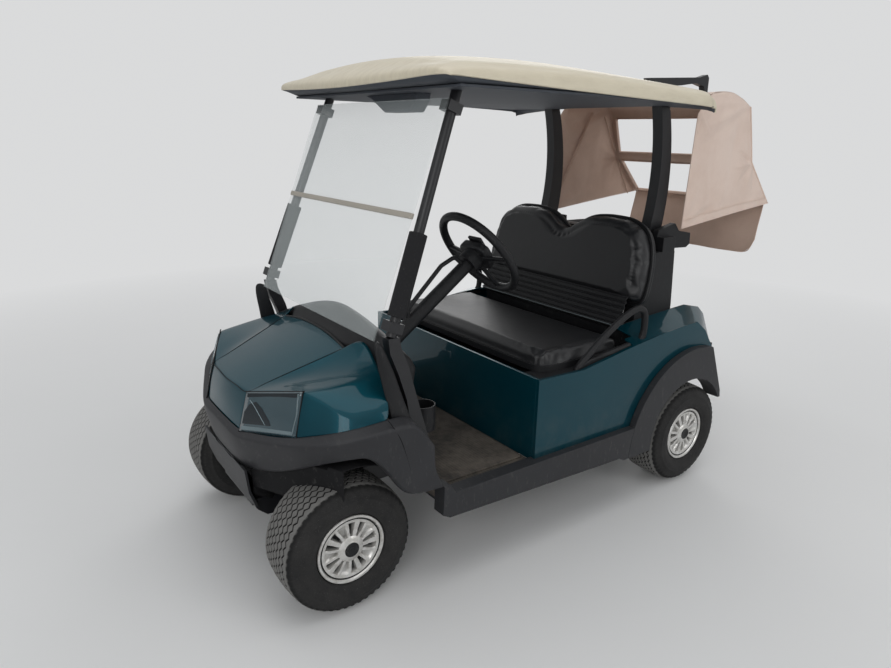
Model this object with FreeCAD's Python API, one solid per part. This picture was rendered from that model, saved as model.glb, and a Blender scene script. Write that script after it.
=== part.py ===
import FreeCAD, Part
import math
import os

# Golf cart with two seats, a fixed roof, a folding screen and a fabric bag cover.
# Millimetres. The front points along -Y, the driver's side is +X and +Z is up.
# The origin is on the floor under the middle of the cart.
# Stations along the cart are counted from the front axle or from the rear axle.

V = FreeCAD.Vector

# Driving dimensions of the whole cart
wheelbase = 1660.0
front_overhang = 240.0
cover_overhang = 742.0
front_track = 860.0
rear_track = 980.0
axle_height = 226.0
cart_half_width = 600.0
wall = 5.0
lens_depth = 18.0
running_fit = 0.06
seat_gap = 0.3

front_axle = front_overhang - (front_overhang + wheelbase + cover_overhang) / 2
rear_axle = front_axle + wheelbase

# Tyres and rims
tyre_radius = 226.0
tyre_half_width = 105.0
tyre_tread_half = 78.0
bead_radius = 102.0
rim_flange_radius = 119.0
rim_half_width = 90.0
rim_lip = 6.0
rim_wall = 5.0
disc_inset = 8.0
disc_thickness = 14.0
rim_slots = 14
slot_inner_radius = 46.0
slot_outer_radius = 88.0
slot_width = 13.0
cap_radius = 30.0
cap_rise = 16.0
hub_radius = 34.0
hub_flange_radius = 58.0
hub_flange = 10.0
hub_reach = 30.0
spindle_radius = 12.0

# Front axle, knuckles and steering
kingpin_inset = 112.0
kingpin_x = front_track / 2 - kingpin_inset
kingpin_radius = 10.0
ear_thickness = 15.0
ear_half_width = 26.0
ear_level = 64.0
knuckle_radius = 24.0
beam_end = kingpin_x - 48.0
beam_half_width = 24.0
beam_height = 50.0
steering_arm = 110.0
arm_inset = 12.0
arm_half_width = 8.0
arm_thickness = 14.0
rack_radius = 11.0
rack_drop = 46.0
rack_half_length = kingpin_x - arm_inset
shock_x = 228.0
shock_top = 430.0
rack_housing_half = 150.0
axle_shaft_radius = 15.0
axle_tube_radius = 30.0
column_x = 240.0
column_foot = (296.0, 775.0)
column_rise = 37.0
column_length = 480.0
column_radius = 26.0
# The brace over the column: run up the column and height over its axis
brace_run = ((128.0, 12.0), (148.0, 48.0), (350.0, 76.0), (414.0, 62.0), (426.0, 12.0))
shaft_radius = 9.0
steering_wheel_radius = 188.0
steering_rim_radius = 13.0
spoke_angles = (0.0, 90.0, 180.0)
joint_drop = 84.0
joint_ball = 14.0
pinion_x = 98.0
pinion_top = 212.0

# Frame and floor
rail_x = 170.0
rail_width = 50.0
rail_bottom = 238.0
rail_height = 70.0
floor_top = 345.0
floor_thickness = 14.0
floor_half_width = cart_half_width - 55.0
mat_thickness = 8.0
toe_foot = 300.0
toe_top = (218.0, 560.0)
seat_front = -926.0
seat_front_top = 667.0
sill_top = 358.0

# Upper structure
shield_half_width = 212.0
dash_half_width = 470.0
cup_x = 425.0
cup_station = 330.0
cup_low = 530.0
cup_depth = 90.0
cup_radius = 44.0
dash_pockets = ((-400.0, -150.0), (60.0, 150.0), (330.0, 420.0))
post_inner = 470.0
post_outer = 508.0
pillar_start = 166.0
pillar_foot = 900.0
pillar_top = (430.0, 440.0, 1632.0)
sleeve_span = (0.08, 0.42)
# Places on the folding screen, counted down the pillar from its top
screen_top = 40.0
fold = 410.0
screen_foot = 811.0
clamp_runs = (750.0, 56.0)
crossbar_top = 1100.0
roof_wall = 8.0
pillar_radius = 17.0
sleeve_radius = 29.0
screen_thickness = 6.0
screen_half_width = 452.0
strut_x = 320.0
strut_half = 25.0

# Seat and rear body
body_half_width = cart_half_width - 30.0
panel_wall = 14.0
cushion_half_width = 505.0
cushion_bottom = 655.0
cushion_top = 728.0
cushion_front = -862.0
cushion_rear = -412.0
seat_tip = 55.0
swing_clearance = 8.0
back_bottom = 862.0
back_top = 1204.0
back_dip = 80.0
back_station = -338.0
back_depth = 92.0
back_lean = 12.0
back_post_x = 400.0
back_post_half = 29.0
shelf_top = 742.0
rack_reach = 240.0
back_half_width = 495.0
flare_radius = 412.0
arch_radius = 272.0
deck_level = 464.0
well_half_width = 430.0
body_rear = 330.0
bumper_depth = 30.0
hitch_spacing_x = 120.0
hitch_spacing_z = 50.0
hitch_level = 430.0
hitch_hole_radius = 5.5

# Bag cover
cover_half_width = 405.0
cloth = 4.0
hem = 35.0


def front(y):
    return front_axle + y


def rear(y):
    return rear_axle + y


def block(x, y, z):
    """A box from three (low, high) pairs."""
    size = [high - low for low, high in (x, y, z)]
    return Part.makeBox(size[0], size[1], size[2], V(x[0], y[0], z[0]))


def rod(start, end, radius):
    start, end = V(*start), V(*end)
    return Part.makeCylinder(radius, (end - start).Length, start, end - start)


def outline(points, place):
    """Closed wire; a point given as a (middle, end) pair is reached by an arc."""
    edges = []
    last = points[0]
    for step in list(points[1:]) + [points[0]]:
        if isinstance(step[0], tuple):
            middle, end = step
            edges.append(Part.Arc(place(*last), place(*middle), place(*end)).toShape())
        else:
            end = step
            if end != last:
                edges.append(Part.LineSegment(place(*last), place(*end)).toShape())
        last = end
    return Part.Wire(edges)


def side_slab(points, low, high):
    """An outline in (y, z), from x low to x high."""
    face = Part.Face(outline(points, lambda y, z: V(low, y, z)))
    return face.extrude(V(high - low, 0, 0))


def cross_slab(points, low, high):
    """An outline in (x, z), from y low to y high."""
    face = Part.Face(outline(points, lambda x, z: V(x, low, z)))
    return face.extrude(V(0, high - low, 0))


def flat_slab(points, low, high):
    """An outline in (x, y), from z low to z high."""
    face = Part.Face(outline(points, lambda x, y: V(x, y, low)))
    return face.extrude(V(0, 0, high - low))


def bent_tube(points, radius, bend):
    """A round bar through the points, with arcs of radius bend at the corners."""
    points = [V(*p) for p in points]
    edges = []
    last = points[0]
    for before, corner, after in zip(points, points[1:], points[2:]):
        into = (corner - before).normalize()
        out = (after - corner).normalize()
        turn = into.getAngle(out)
        back = bend * math.tan(turn / 2)
        start = corner - into * back
        end = corner + out * back
        inward = (out - into).normalize()
        middle = corner + inward * bend * (1 / math.cos(turn / 2) - 1)
        edges.append(Part.LineSegment(last, start).toShape())
        edges.append(Part.Arc(start, middle, end).toShape())
        last = end
    edges.append(Part.LineSegment(last, points[-1]).toShape())
    ring = Part.Wire(Part.Circle(points[0], points[1] - points[0], radius).toShape())
    return Part.Wire(edges).makePipeShell([ring], True, False)


def turned(profile, centre, axis):
    """A solid of revolution; the profile is in (along, radius) about axis X."""
    wire = outline(profile, lambda along, radius: V(along, 0, radius))
    solid = Part.Face(wire).revolve(V(0, 0, 0), V(1, 0, 0), 360)
    solid.translate(V(*centre))
    return solid if axis > 0 else solid.mirror(V(*centre), V(1, 0, 0))


def skin(lines, thickness):
    """A sheet of the given thickness under a net of points, one row for each line."""
    rows, columns = len(lines), len(lines[0])

    def normal(i, j):
        total = V(0, 0, 0)
        for di, dj in ((1, 1), (-1, 1), (-1, -1), (1, -1)):
            a, b = i + di, j + dj
            if 0 <= a < rows and 0 <= b < columns:
                along = lines[a][j] - lines[i][j]
                across = lines[i][b] - lines[i][j]
                total += along.cross(across).normalize() * (di * dj)
        return total.normalize()

    under = [[lines[i][j] + normal(i, j) * thickness for j in range(columns)] for i in range(rows)]
    faces = []

    def patch(a, b, c, d):
        if (a + b + c + d).x < 0:
            a, b, c, d = b, c, d, a
        for corners in ((a, b, c), (a, c, d)):
            faces.append(Part.Face(Part.makePolygon(list(corners) + [corners[0]])))

    for net in (lines, under):
        for i in range(rows - 1):
            for j in range(columns - 1):
                patch(net[i][j], net[i + 1][j], net[i + 1][j + 1], net[i][j + 1])
    for i in (0, rows - 1):
        for j in range(columns - 1):
            patch(lines[i][j], lines[i][j + 1], under[i][j + 1], under[i][j])
    for j in (0, columns - 1):
        for i in range(rows - 1):
            patch(lines[i][j], lines[i + 1][j], under[i + 1][j], under[i][j])
    solid = Part.Solid(Part.Shell(faces))
    return solid if solid.Volume > 0 else Part.Solid(solid.Shells[0].reversed())


def both_sides(lines):
    """Half the net of a symmetric sheet, from the middle out, made whole."""
    other = [[V(-p.x, p.y, p.z) for p in line] for line in lines[:0:-1]]
    return other + lines


def mirrored(shape):
    return shape.mirror(V(0, 0, 0), V(1, 0, 0))


def pair(name, shape):
    """A left-hand piece and its mirror image, as two nodes."""
    return {name + "_left": shape, name + "_right": mirrored(shape)}


def both(name, shape):
    """A left-hand piece and its mirror image, which share a node."""
    return {name: Part.makeCompound([shape, mirrored(shape)])}


def tyre(centre, side):
    crown = tyre_radius
    edge = rim_flange_radius + 1.0
    half = rim_half_width - rim_lip - seat_gap
    bore = bead_radius + seat_gap
    profile = [
        (-half, bore), (-half, edge),
        ((-tyre_half_width, 158.0), (-94.0, 196.0)),
        ((-89.0, 212.0), (-tyre_tread_half, 221.0)),
        ((0.0, crown), (tyre_tread_half, 221.0)),
        ((89.0, 212.0), (94.0, 196.0)),
        ((tyre_half_width, 158.0), (half, edge)),
        (half, bore),
    ]
    return turned(profile, centre, side)


def rim(centre, side):
    face = rim_half_width - disc_inset
    back = face - disc_thickness
    inside = bead_radius - rim_wall
    profile = [
        (-rim_half_width, inside), (-rim_half_width, rim_flange_radius),
        (-rim_half_width + rim_lip, rim_flange_radius), (-rim_half_width + rim_lip, bead_radius),
        (rim_half_width - rim_lip, bead_radius), (rim_half_width - rim_lip, rim_flange_radius),
        (rim_half_width, rim_flange_radius), (rim_half_width, inside), (face, inside),
        (face, cap_radius), (face + cap_rise, cap_radius - 4.0), (face + cap_rise, 0.0),
        (back, 0.0), (back, inside),
    ]
    solid = turned(profile, centre, side)
    slot = block(
        (back - 1.0, face + 1.0),
        (-slot_width / 2, slot_width / 2),
        (slot_inner_radius, slot_outer_radius),
    )
    if side < 0:
        slot = mirrored(slot)
    slot.translate(V(*centre))
    slots = []
    for k in range(rim_slots):
        turned_slot = slot.copy()
        turned_slot.rotate(V(*centre), V(1, 0, 0), k * 360.0 / rim_slots)
        slots.append(turned_slot)
    return solid.cut(Part.makeCompound(slots))


def front_hub(centre, side):
    bore = spindle_radius + running_fit
    back = rim_half_width - disc_inset - disc_thickness
    profile = [
        (-hub_reach, bore), (-hub_reach, hub_radius), (back - hub_flange, hub_radius),
        (back - hub_flange, hub_flange_radius), (back, hub_flange_radius), (back, bore),
    ]
    return turned(profile, centre, side)


def wheels():
    nodes = {}
    disc_back = rim_half_width - disc_inset - disc_thickness
    for axle, y, half_track in (("front", front(0), front_track / 2), ("rear", rear(0), rear_track / 2)):
        for side, sign in (("left", 1), ("right", -1)):
            centre = (sign * half_track, y, axle_height)
            nodes[axle + "_tyre_" + side] = tyre(centre, sign)
            nodes[axle + "_rim_" + side] = rim(centre, sign)
            if axle == "front":
                whole = nodes["front_rim_" + side].fuse(front_hub(centre, sign))
                nodes["front_rim_" + side] = whole.removeSplitter()
    shaft_inner = rear_track / 2 - 190.0
    shaft = rod(
        (shaft_inner, rear(0), axle_height),
        (rear_track / 2 + disc_back, rear(0), axle_height),
        axle_shaft_radius,
    )
    flange = rod(
        (rear_track / 2 + disc_back - hub_flange, rear(0), axle_height),
        (rear_track / 2 + disc_back, rear(0), axle_height),
        hub_flange_radius,
    )
    nodes.update(pair("rear_axle_shaft", shaft.fuse(flange).removeSplitter()))
    return nodes


def axles():
    z = axle_height
    y = front(0)
    beam = block((-beam_end, beam_end), (y - beam_half_width, y + beam_half_width),
                 (rail_bottom - beam_height, rail_bottom))
    for sign in (1, -1):
        for level in (ear_level, -ear_level - ear_thickness):
            ear = block(
                (beam_end - 30.0, kingpin_x + ear_half_width),
                (y - beam_half_width, y + beam_half_width),
                (z + level, z + level + ear_thickness),
            )
            beam = beam.fuse(ear if sign > 0 else mirrored(ear))
        web = block((beam_end - 30.0, beam_end), (y - beam_half_width, y + beam_half_width),
                    (z - ear_level - ear_thickness, z + ear_level + ear_thickness))
        beam = beam.fuse(web if sign > 0 else mirrored(web))
        hole = rod((sign * kingpin_x, y, z - 120.0), (sign * kingpin_x, y, z + 120.0),
                   kingpin_radius + running_fit)
        beam = beam.cut(hole)
    nodes = {"front_axle_beam": beam.removeSplitter()}

    pin_half = ear_level + ear_thickness + 8.0
    knuckle = rod((kingpin_x, y, z - pin_half), (kingpin_x, y, z + pin_half), kingpin_radius)
    barrel = ear_level - seat_gap
    knuckle = knuckle.fuse(rod((kingpin_x, y, z - barrel), (kingpin_x, y, z + barrel), knuckle_radius))
    spindle_end = front_track / 2 + rim_half_width - disc_inset - disc_thickness - 4.0
    knuckle = knuckle.fuse(rod((kingpin_x, y, z), (spindle_end, y, z), spindle_radius))
    boss_end = front_track / 2 - hub_reach - seat_gap
    knuckle = knuckle.fuse(rod((kingpin_x, y, z), (boss_end, y, z), hub_radius - 6.0))
    arm_z = z - rack_drop + rack_radius + 6.0
    arm = flat_slab(
        [
            (kingpin_x - arm_half_width, y), (kingpin_x + arm_half_width, y),
            (kingpin_x - arm_inset + arm_half_width, y + steering_arm + arm_half_width),
            (kingpin_x - arm_inset - arm_half_width, y + steering_arm + arm_half_width),
        ],
        arm_z, arm_z + arm_thickness,
    )
    nodes.update(pair("knuckle", knuckle.fuse(arm).removeSplitter()))

    rack_y = y + steering_arm
    rack_z = z - rack_drop
    rack = rod((-rack_half_length, rack_y, rack_z), (rack_half_length, rack_y, rack_z), rack_radius)
    nodes["steering_rack"] = rack
    housing = rod((-rack_housing_half, rack_y, rack_z), (rack_housing_half, rack_y, rack_z),
                  rack_radius + 12.0)
    brace_top = rail_bottom
    for x in (-rail_x, rail_x):
        low, high = x - rail_width / 2, x + rail_width / 2
        if x > 0:
            high = rack_housing_half
        else:
            low = -rack_housing_half
        housing = housing.fuse(block((low, high), (rack_y - 14.0, rack_y + 14.0),
                                     (rack_z, brace_top)))
    pinion = rod((pinion_x, rack_y, rack_z), (pinion_x, rack_y, pinion_top - 12.0), 20.0)
    housing = housing.fuse(pinion)
    housing = housing.cut(rod((-400.0, rack_y, rack_z), (400.0, rack_y, rack_z),
                              rack_radius + running_fit))
    nodes["rack_housing"] = housing.removeSplitter()

    half = rear_track / 2
    tube_end = half - tyre_half_width + 60.0
    axle = rod((-tube_end, rear(0), z), (tube_end, rear(0), z), axle_tube_radius)
    for sign in (1, -1):
        bore = rod((sign * (half - 191.0), rear(0), z), (sign * (tube_end + 1.0), rear(0), z),
                   axle_shaft_radius + running_fit)
        axle = axle.cut(bore)
    nodes["rear_axle_tube"] = axle
    motor = block((-150.0, 110.0), (rear(-210.0), rear(150.0)), (z - 105.0, z + 130.0))
    nodes["motor_and_transaxle"] = motor.cut(rod((-tube_end, rear(0), z), (tube_end, rear(0), z),
                                                 axle_tube_radius))
    return nodes


def springs():
    nodes = {}
    outer = rail_x + rail_width / 2
    top = axle_height + axle_tube_radius + seat_gap
    leaf = side_slab(
        [
            (rear(-300.0), 318.0), ((rear(0.0), top), (rear(300.0), 318.0)),
            (rear(300.0), 334.0), ((rear(0.0), top + 22.0), (rear(-300.0), 334.0)),
        ],
        outer + 4.0, outer + 54.0,
    )
    eye = block((outer, outer + 54.0), (rear(-322.0), rear(-300.0)), (292.0, 340.0))
    shackle = block((outer, outer + 54.0), (rear(300.0), rear(316.0)), (310.0, 420.0))
    nodes.update(both("rear_springs", leaf.fuse([eye, shackle]).removeSplitter()))

    y = front(0.0)
    inner = rail_x - rail_width / 2
    high = rail_bottom + rail_height
    tower = block((inner, inner + 12.0), (y - 20.0, y + 20.0), (high, shock_top + 12.0))
    tower = tower.fuse(block((inner, shock_x + 20.0), (y - 20.0, y + 20.0), (shock_top, shock_top + 12.0)))
    tube = rod((shock_x, y, rail_bottom), (shock_x, y, shock_top), 11.0)
    coil = rod((shock_x, y, rail_bottom + 70.0), (shock_x, y, shock_top - 6.0), 20.0)
    nodes.update(both("front_shocks", tower.fuse([tube, coil]).removeSplitter()))
    return nodes


def frame():
    nodes = {}
    low, high = rail_bottom, rail_bottom + rail_height
    rail = side_slab(
        [
            (front(-184.0), low + 30.0), (front(-150.0), low),
            (rear(-330.0), low), (rear(-230.0), low + 150.0), (rear(body_rear), low + 150.0),
            (rear(body_rear), high + 150.0), (rear(-270.0), high + 150.0),
            (rear(-370.0), high), (front(-184.0), high),
        ],
        rail_x - rail_width / 2, rail_x + rail_width / 2,
    )
    nodes["frame_rails"] = Part.makeCompound([rail, mirrored(rail)])
    inner = rail_x - rail_width / 2
    # Cross members: station from the front axle or the rear axle, then the level
    stations = [
        (front(-184.0), high - 50.0, 40.0), (front(-25.0), low + 20.0, 50.0),
        (front(420.0), low, 60.0), (rear(-960.0), low, 60.0), (rear(-420.0), low, 50.0),
        (rear(210.0), low + 150.0, 40.0),
    ]
    members = [block((-inner, inner), (y, y + depth), (z, z + 50.0)) for y, z, depth in stations]
    arms = []
    for y in (front(330.0), rear(-960.0), rear(-470.0)):
        arm = block((rail_x + rail_width / 2, floor_half_width), (y, y + 40.0),
                    (floor_top - floor_thickness - 40.0, floor_top - floor_thickness))
        arms += [arm, mirrored(arm)]
    nodes["frame_members"] = Part.makeCompound(members + arms)
    floor_low = floor_top - floor_thickness
    floor = side_slab(
        [
            (front(toe_foot), floor_low), (rear(seat_front), floor_low),
            (rear(seat_front), floor_top), (front(toe_foot + 8.0), floor_top),
            (front(toe_top[0] + 12.0), toe_top[1]), (front(toe_top[0]), toe_top[1]),
        ],
        -floor_half_width, floor_half_width,
    )
    for sign in (1, -1):
        post = lower_pillar()
        floor = floor.cut(post if sign > 0 else mirrored(post))
    nodes["floor_pan"] = floor
    nodes["floor_mat"] = block((-floor_half_width + 30.0, floor_half_width - 30.0),
                               (front(toe_foot + 30.0), rear(seat_front - 16.0)),
                               (floor_top, floor_top + mat_thickness))
    return nodes


def front_body():
    nodes = {}
    # One row for each line of the bonnet, from the middle out: (x, y, z) at the nose's foot,
    # the bonnet's front edge, two stations on the bonnet, and the cowl
    bonnet = [
        [(0, -224, 566), (0, -198, 688), (0, -80, 750), (0, 25, 803), (0, 112, 860)],
        [(165, -216, 560), (169, -184, 689), (214, -70, 743), (260, 28, 780), (308, 146, 822)],
        [(300, -172, 578), (288, -134, 720), (332, -35, 746), (366, 45, 769), (390, 156, 796)],
        [(416, -123, 604), (392, -86, 741), (418, -10, 748), (436, 75, 762), (450, 168, 780)],
        [(500, -54, 632), (494, -22, 690), (506, 25, 702), (514, 95, 716), (516, 176, 734)],
        [(543, 20, 648), (545, 36, 650), (547, 65, 650), (550, 110, 655), (552, 190, 660)],
    ]
    lines = [[V(x, front(y), z) for x, y, z in line] for line in bonnet]
    cowl = skin(both_sides(lines), -wall)

    # One row for each line of the bumper, from the middle out: (x, y, z) at its upper edge,
    # its ridge and its lower edge; the last rows pass over the wheel and down behind it
    bumper = [
        [(0, -224, 566), (0, -240, 530), (0, -230, 430)],
        [(165, -216, 558), (162, -233, 522), (158, -221, 424)],
        [(300, -172, 578), (309, -188, 545), (304, -174, 456)],
        [(416, -123, 604), (438, -142, 574), (432, -122, 510)],
        [(500, -54, 632), (537, -78, 604), (531, -54, 558)],
        [(543, 20, 648), (586, 14, 620), (580, 26, 571)],
        [(550, 110, 655), (597, 108, 606), (592, 104, 506)],
        [(552, 190, 660), (598, 190, 560), (598, 166, 404)],
        [(561, 240, 560), (598, 262, 470), (598, 300, 394)],
    ]
    lines = [[V(x, front(y), z) for x, y, z in line] for line in bumper]
    bumper_skin = skin(both_sides(lines), wall).cut(cowl)

    # The lens's corners: (x, y, z) on the nose, top edge then bottom edge, inner to outer
    lens = [
        [(178, -187, 692), (180, -221, 570)],
        [(284, -138, 722), (296, -181, 588)],
        [(386, -92, 744), (404, -134, 612)],
    ]
    lines = [[V(x, front(y), z) for x, y, z in line] for line in lens]
    nodes.update(both("headlights", skin(lines, lens_depth)))
    nodes["front_bumper"] = bumper_skin.cut(nodes["headlights"])
    cowl = cowl.cut(nodes["headlights"])
    nodes["front_cowl"] = cowl

    shield = side_slab(
        [
            (front(-226.0), 434.0), (front(-216.0), 350.0), (front(-192.0), 282.0),
            (front(-186.0), 286.0), (front(-208.0), 352.0), (front(-218.0), 434.0),
        ],
        -shield_half_width, shield_half_width,
    )
    shield = shield.cut(nodes["front_bumper"])
    nodes["front_undershield"] = max(shield.Solids, key=lambda solid: solid.Volume)

    dash = side_slab(
        [
            (front(105.0), 858.0), (front(150.0), 864.0), (front(190.0), 894.0), (front(245.0), 898.0),
            (front(282.0), 860.0), (front(290.0), 780.0), (front(264.0), 660.0),
            (front(toe_top[0] + 12.0), toe_top[1]), (front(toe_top[0]), toe_top[1]),
            (front(206.0), 660.0), (front(112.0), 730.0),
        ],
        -dash_half_width, dash_half_width,
    )
    crown = [(-dash_half_width, 550), (dash_half_width, 550), (dash_half_width, 776),
             (350, 822), ((0, 898), (-350, 822)), (-dash_half_width, 776)]
    dash = dash.common(cross_slab(crown, front(100.0), front(320.0)))
    dash = max(dash.cut(cowl).Solids, key=lambda solid: solid.Volume)
    # Pockets in the dash: low and high x
    for low, high in dash_pockets:
        dash = dash.cut(block((low, high), (front(222.0), front(320.0)), (690.0, 770.0)))
    axis = column_axis()
    dash = dash.cut(rod(axis(-120.0), axis(200.0), column_radius))
    high, low = link_line()
    dash = dash.cut(rod(tuple(high), tuple(low), column_radius))
    for sign in (1, -1):
        post = lower_pillar()
        dash = dash.cut(post if sign > 0 else mirrored(post))
    nodes["dash"] = dash
    return nodes


def column_axis():
    """Point on the steering column's axis, counted up from its foot at the dash."""
    rise = math.radians(column_rise)
    foot = V(column_x, front(column_foot[0]), column_foot[1])
    along = V(0, math.cos(rise), math.sin(rise))
    return lambda t: tuple(foot + along * t)


def link_line():
    """The ends of the lower steering shaft, at the column and at the rack."""
    return V(*column_axis()(-joint_drop)), V(pinion_x, front(steering_arm), pinion_top)


def steering():
    nodes = {}
    on = column_axis()
    high, low = link_line()
    way = (low - high).normalize()
    nodes["steering_link"] = rod(tuple(high + way * (joint_ball + seat_gap)), tuple(low), shaft_radius)
    top = V(*on(column_length))
    along = (top - V(*on(0.0))).normalize()
    bore = shaft_radius + running_fit
    column = rod(on(-60.0), on(column_length - 40.0), column_radius)
    above = V(0, -math.sin(math.radians(column_rise)), math.cos(math.radians(column_rise)))
    brace = bent_tube([tuple(V(*on(t)) + above * rise) for t, rise in brace_run], 8.0, 22.0)
    column = column.fuse(brace).cut(rod(on(-61.0), on(column_length), bore))
    nodes["steering_column"] = column.removeSplitter()
    shaft = rod(on(-joint_drop), on(column_length + 6.0), shaft_radius)
    shaft = shaft.fuse(Part.makeSphere(joint_ball, high))
    hub = rod(on(column_length - 40.0 + seat_gap), on(column_length + 20.0), 44.0)
    ring_radius = steering_wheel_radius - steering_rim_radius
    ring = Part.makeTorus(ring_radius, steering_rim_radius, top + along * 26.0, along)
    spokes = []
    across = V(1, 0, 0)
    up = along.cross(across)
    for angle in spoke_angles:
        way = across * math.cos(math.radians(angle)) + up * math.sin(math.radians(angle))
        spokes.append(rod(tuple(top + way * 20.0 + along * 4.0),
                          tuple(top + way * ring_radius + along * 26.0), 9.0))
    nodes["steering_wheel"] = hub.fuse([ring, shaft] + spokes).removeSplitter()
    return nodes


def lower_pillar():
    return side_slab(
        [
            (front(268.0), sill_top + 30.0), (front(254.0), 480.0), (front(234.0), 566.0),
            (front(214.0), 686.0), (front(184.0), 776.0), (front(152.0), 852.0),
            (front(146.0), pillar_foot), (front(186.0), pillar_foot), (front(192.0), 868.0),
            (front(222.0), 794.0), (front(252.0), 690.0), (front(290.0), 566.0),
            (front(320.0), 470.0), (front(330.0), sill_top + 30.0),
        ],
        post_inner, post_outer,
    )


def screen_frame():
    """Place of a point by its run down from the pillar's top and its distance in front."""
    down = V(0, pillar_start - pillar_top[1], pillar_foot - pillar_top[2]).normalize()
    ahead = V(0, down.z, -down.y)
    top = V(0, front(pillar_top[1]), pillar_top[2])
    return lambda s, n: top + down * s + ahead * n


def upper_works():
    nodes = {}
    place = screen_frame()
    middle_x = (post_inner + post_outer) / 2
    top = (pillar_top[0], front(pillar_top[1]), pillar_top[2])
    foot = (middle_x, front(pillar_start), pillar_foot)
    pillar = rod(foot, top, pillar_radius)
    pillar = pillar.common(block((-600, 600), (front(0.0), front(700.0)), (pillar_foot, pillar_top[2])))
    lean = V(*top) - V(*foot)
    sleeve_low = tuple(V(*foot) + lean * sleeve_span[0])
    sleeve_high = tuple(V(*foot) + lean * sleeve_span[1])
    sleeve = rod(sleeve_low, sleeve_high, sleeve_radius).cut(pillar)
    nodes.update(both("pillar_sleeves", sleeve))

    back = sleeve_radius + seat_gap
    ahead = back + screen_thickness

    def sheet(upper, lower, near, far, half):
        def at(s, n):
            return place(s, n) + V(-half, 0, 0)
        face = Part.Face(outline([(upper, near), (lower, near), (lower, far), (upper, far)], at))
        return face.extrude(V(2 * half, 0, 0))

    nodes["screen_lower"] = sheet(fold + 9.0, screen_foot, back, ahead, screen_half_width)
    nodes["screen_upper"] = sheet(screen_top, fold - 9.0, back, ahead, screen_half_width)
    nodes["screen_hinge"] = sheet(fold - 9.0, fold + 9.0, back - 3.0, ahead + 3.0, screen_half_width)
    # Clamps that hold the screen to the pillars
    clamps = []
    for s in clamp_runs:
        shape = sheet(s - 16.0, s + 16.0, -pillar_radius - 6.0, back, 24.0)
        shape.translate(V(top[0] - lean.x * s / lean.Length, 0, 0))
        clamps.append(shape)
    nodes.update(both("front_pillars", pillar.fuse([lower_pillar()] + clamps).removeSplitter()))

    # Roof, from the middle out: x, then (station, z) of the front lip's lower and upper edge,
    # the front, middle and rear of the crown, and the rear lip's upper and lower edge
    roof = [
        (0, (250, 1652), (254, 1690), (430, 1748), (850, 1764), (-160, 1732), (-38, 1692), (-36, 1632)),
        (300, (262, 1648), (268, 1684), (430, 1736), (850, 1752), (-160, 1720), (-40, 1684), (-38, 1624)),
        (500, (300, 1636), (306, 1670), (440, 1704), (850, 1716), (-165, 1692), (-50, 1664), (-48, 1602)),
        (570, (340, 1626), (346, 1656), (450, 1672), (850, 1680), (-175, 1664), (-72, 1642), (-70, 1584)),
        (580, (356, 1614), (366, 1622), (456, 1628), (850, 1630), (-180, 1608), (-92, 1584), (-84, 1574)),
    ]
    lines = []
    for x, *stations in roof:
        fore = [V(x, front(y), z) for y, z in stations[:4]]
        aft = [V(x, rear(y), z) for y, z in stations[4:]]
        lines.append(fore + aft)
    shell = skin(both_sides(lines), -roof_wall)
    nodes["roof"] = shell
    liner = block((-body_half_width - 20.0, body_half_width + 20.0), (front(352.0), rear(-96.0)),
                  (pillar_top[2], pillar_top[2] + roof_wall))
    inside = max(liner.cut(shell).Solids, key=lambda solid: solid.Volume)
    nodes["roof_liner"] = inside

    strut = side_slab(
        [
            (rear(-105.0), crossbar_top), (rear(-24.0), crossbar_top),
            ((rear(0.0), 1370.0), (rear(-48.0), pillar_top[2])),
            (rear(-104.0), pillar_top[2]), ((rear(-67.0), 1390.0), (rear(-105.0), crossbar_top)),
        ],
        strut_x - strut_half, strut_x + strut_half,
    )
    strut = max(strut.cut(shell).Solids, key=lambda solid: solid.Volume)
    nodes.update(both("rear_struts", strut))
    return nodes


def seats():
    nodes = {}
    cushion = flat_slab(
        [
            (-cushion_half_width, rear(cushion_front + 60.0)),
            ((-cushion_half_width + 18.0, rear(cushion_front + 18.0)),
             (-cushion_half_width + 60.0, rear(cushion_front))),
            (cushion_half_width - 60.0, rear(cushion_front)),
            ((cushion_half_width - 18.0, rear(cushion_front + 18.0)),
             (cushion_half_width, rear(cushion_front + 60.0))),
            (cushion_half_width, rear(cushion_rear)), (-cushion_half_width, rear(cushion_rear)),
        ],
        cushion_bottom, cushion_top,
    )
    nodes["seat_cushion"] = cushion
    half = back_half_width
    back = cross_slab(
        [
            (-half + 60.0, back_bottom),
            ((-half + 15.0, back_bottom + 14.0), (-half, back_bottom + 62.0)),
            ((-half + 52.0, back_bottom + 262.0), (-270.0, back_top)),
            ((-110.0, back_top - 8.0), (0.0, back_top - back_dip)),
            ((110.0, back_top - 8.0), (270.0, back_top)),
            ((half - 52.0, back_bottom + 262.0), (half, back_bottom + 62.0)),
            ((half - 15.0, back_bottom + 14.0), (half - 60.0, back_bottom)),
        ],
        rear(back_station), rear(back_station + back_depth),
    )
    back.rotate(V(0, rear(back_station), back_bottom), V(1, 0, 0), -back_lean)
    nodes["seat_back"] = back
    return nodes


def seat_swing():
    """The room that the cushion's rear edge and top sweep through as the seat tips up."""
    half = cushion_half_width + swing_clearance
    reach = cushion_top - cushion_bottom + swing_clearance
    tip = math.radians(seat_tip)
    hinge = (rear(cushion_rear), cushion_bottom)
    corner = (hinge[0] + reach * math.sin(tip), hinge[1] + reach * math.cos(tip))
    run = 2 * reach
    end = (corner[0] - run * math.cos(tip), corner[1] + run * math.sin(tip))
    above = side_slab([hinge, corner, end, (end[0], hinge[1])], -half, half)
    return rod((-half,) + hinge, (half,) + hinge, reach).fuse(above)


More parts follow.
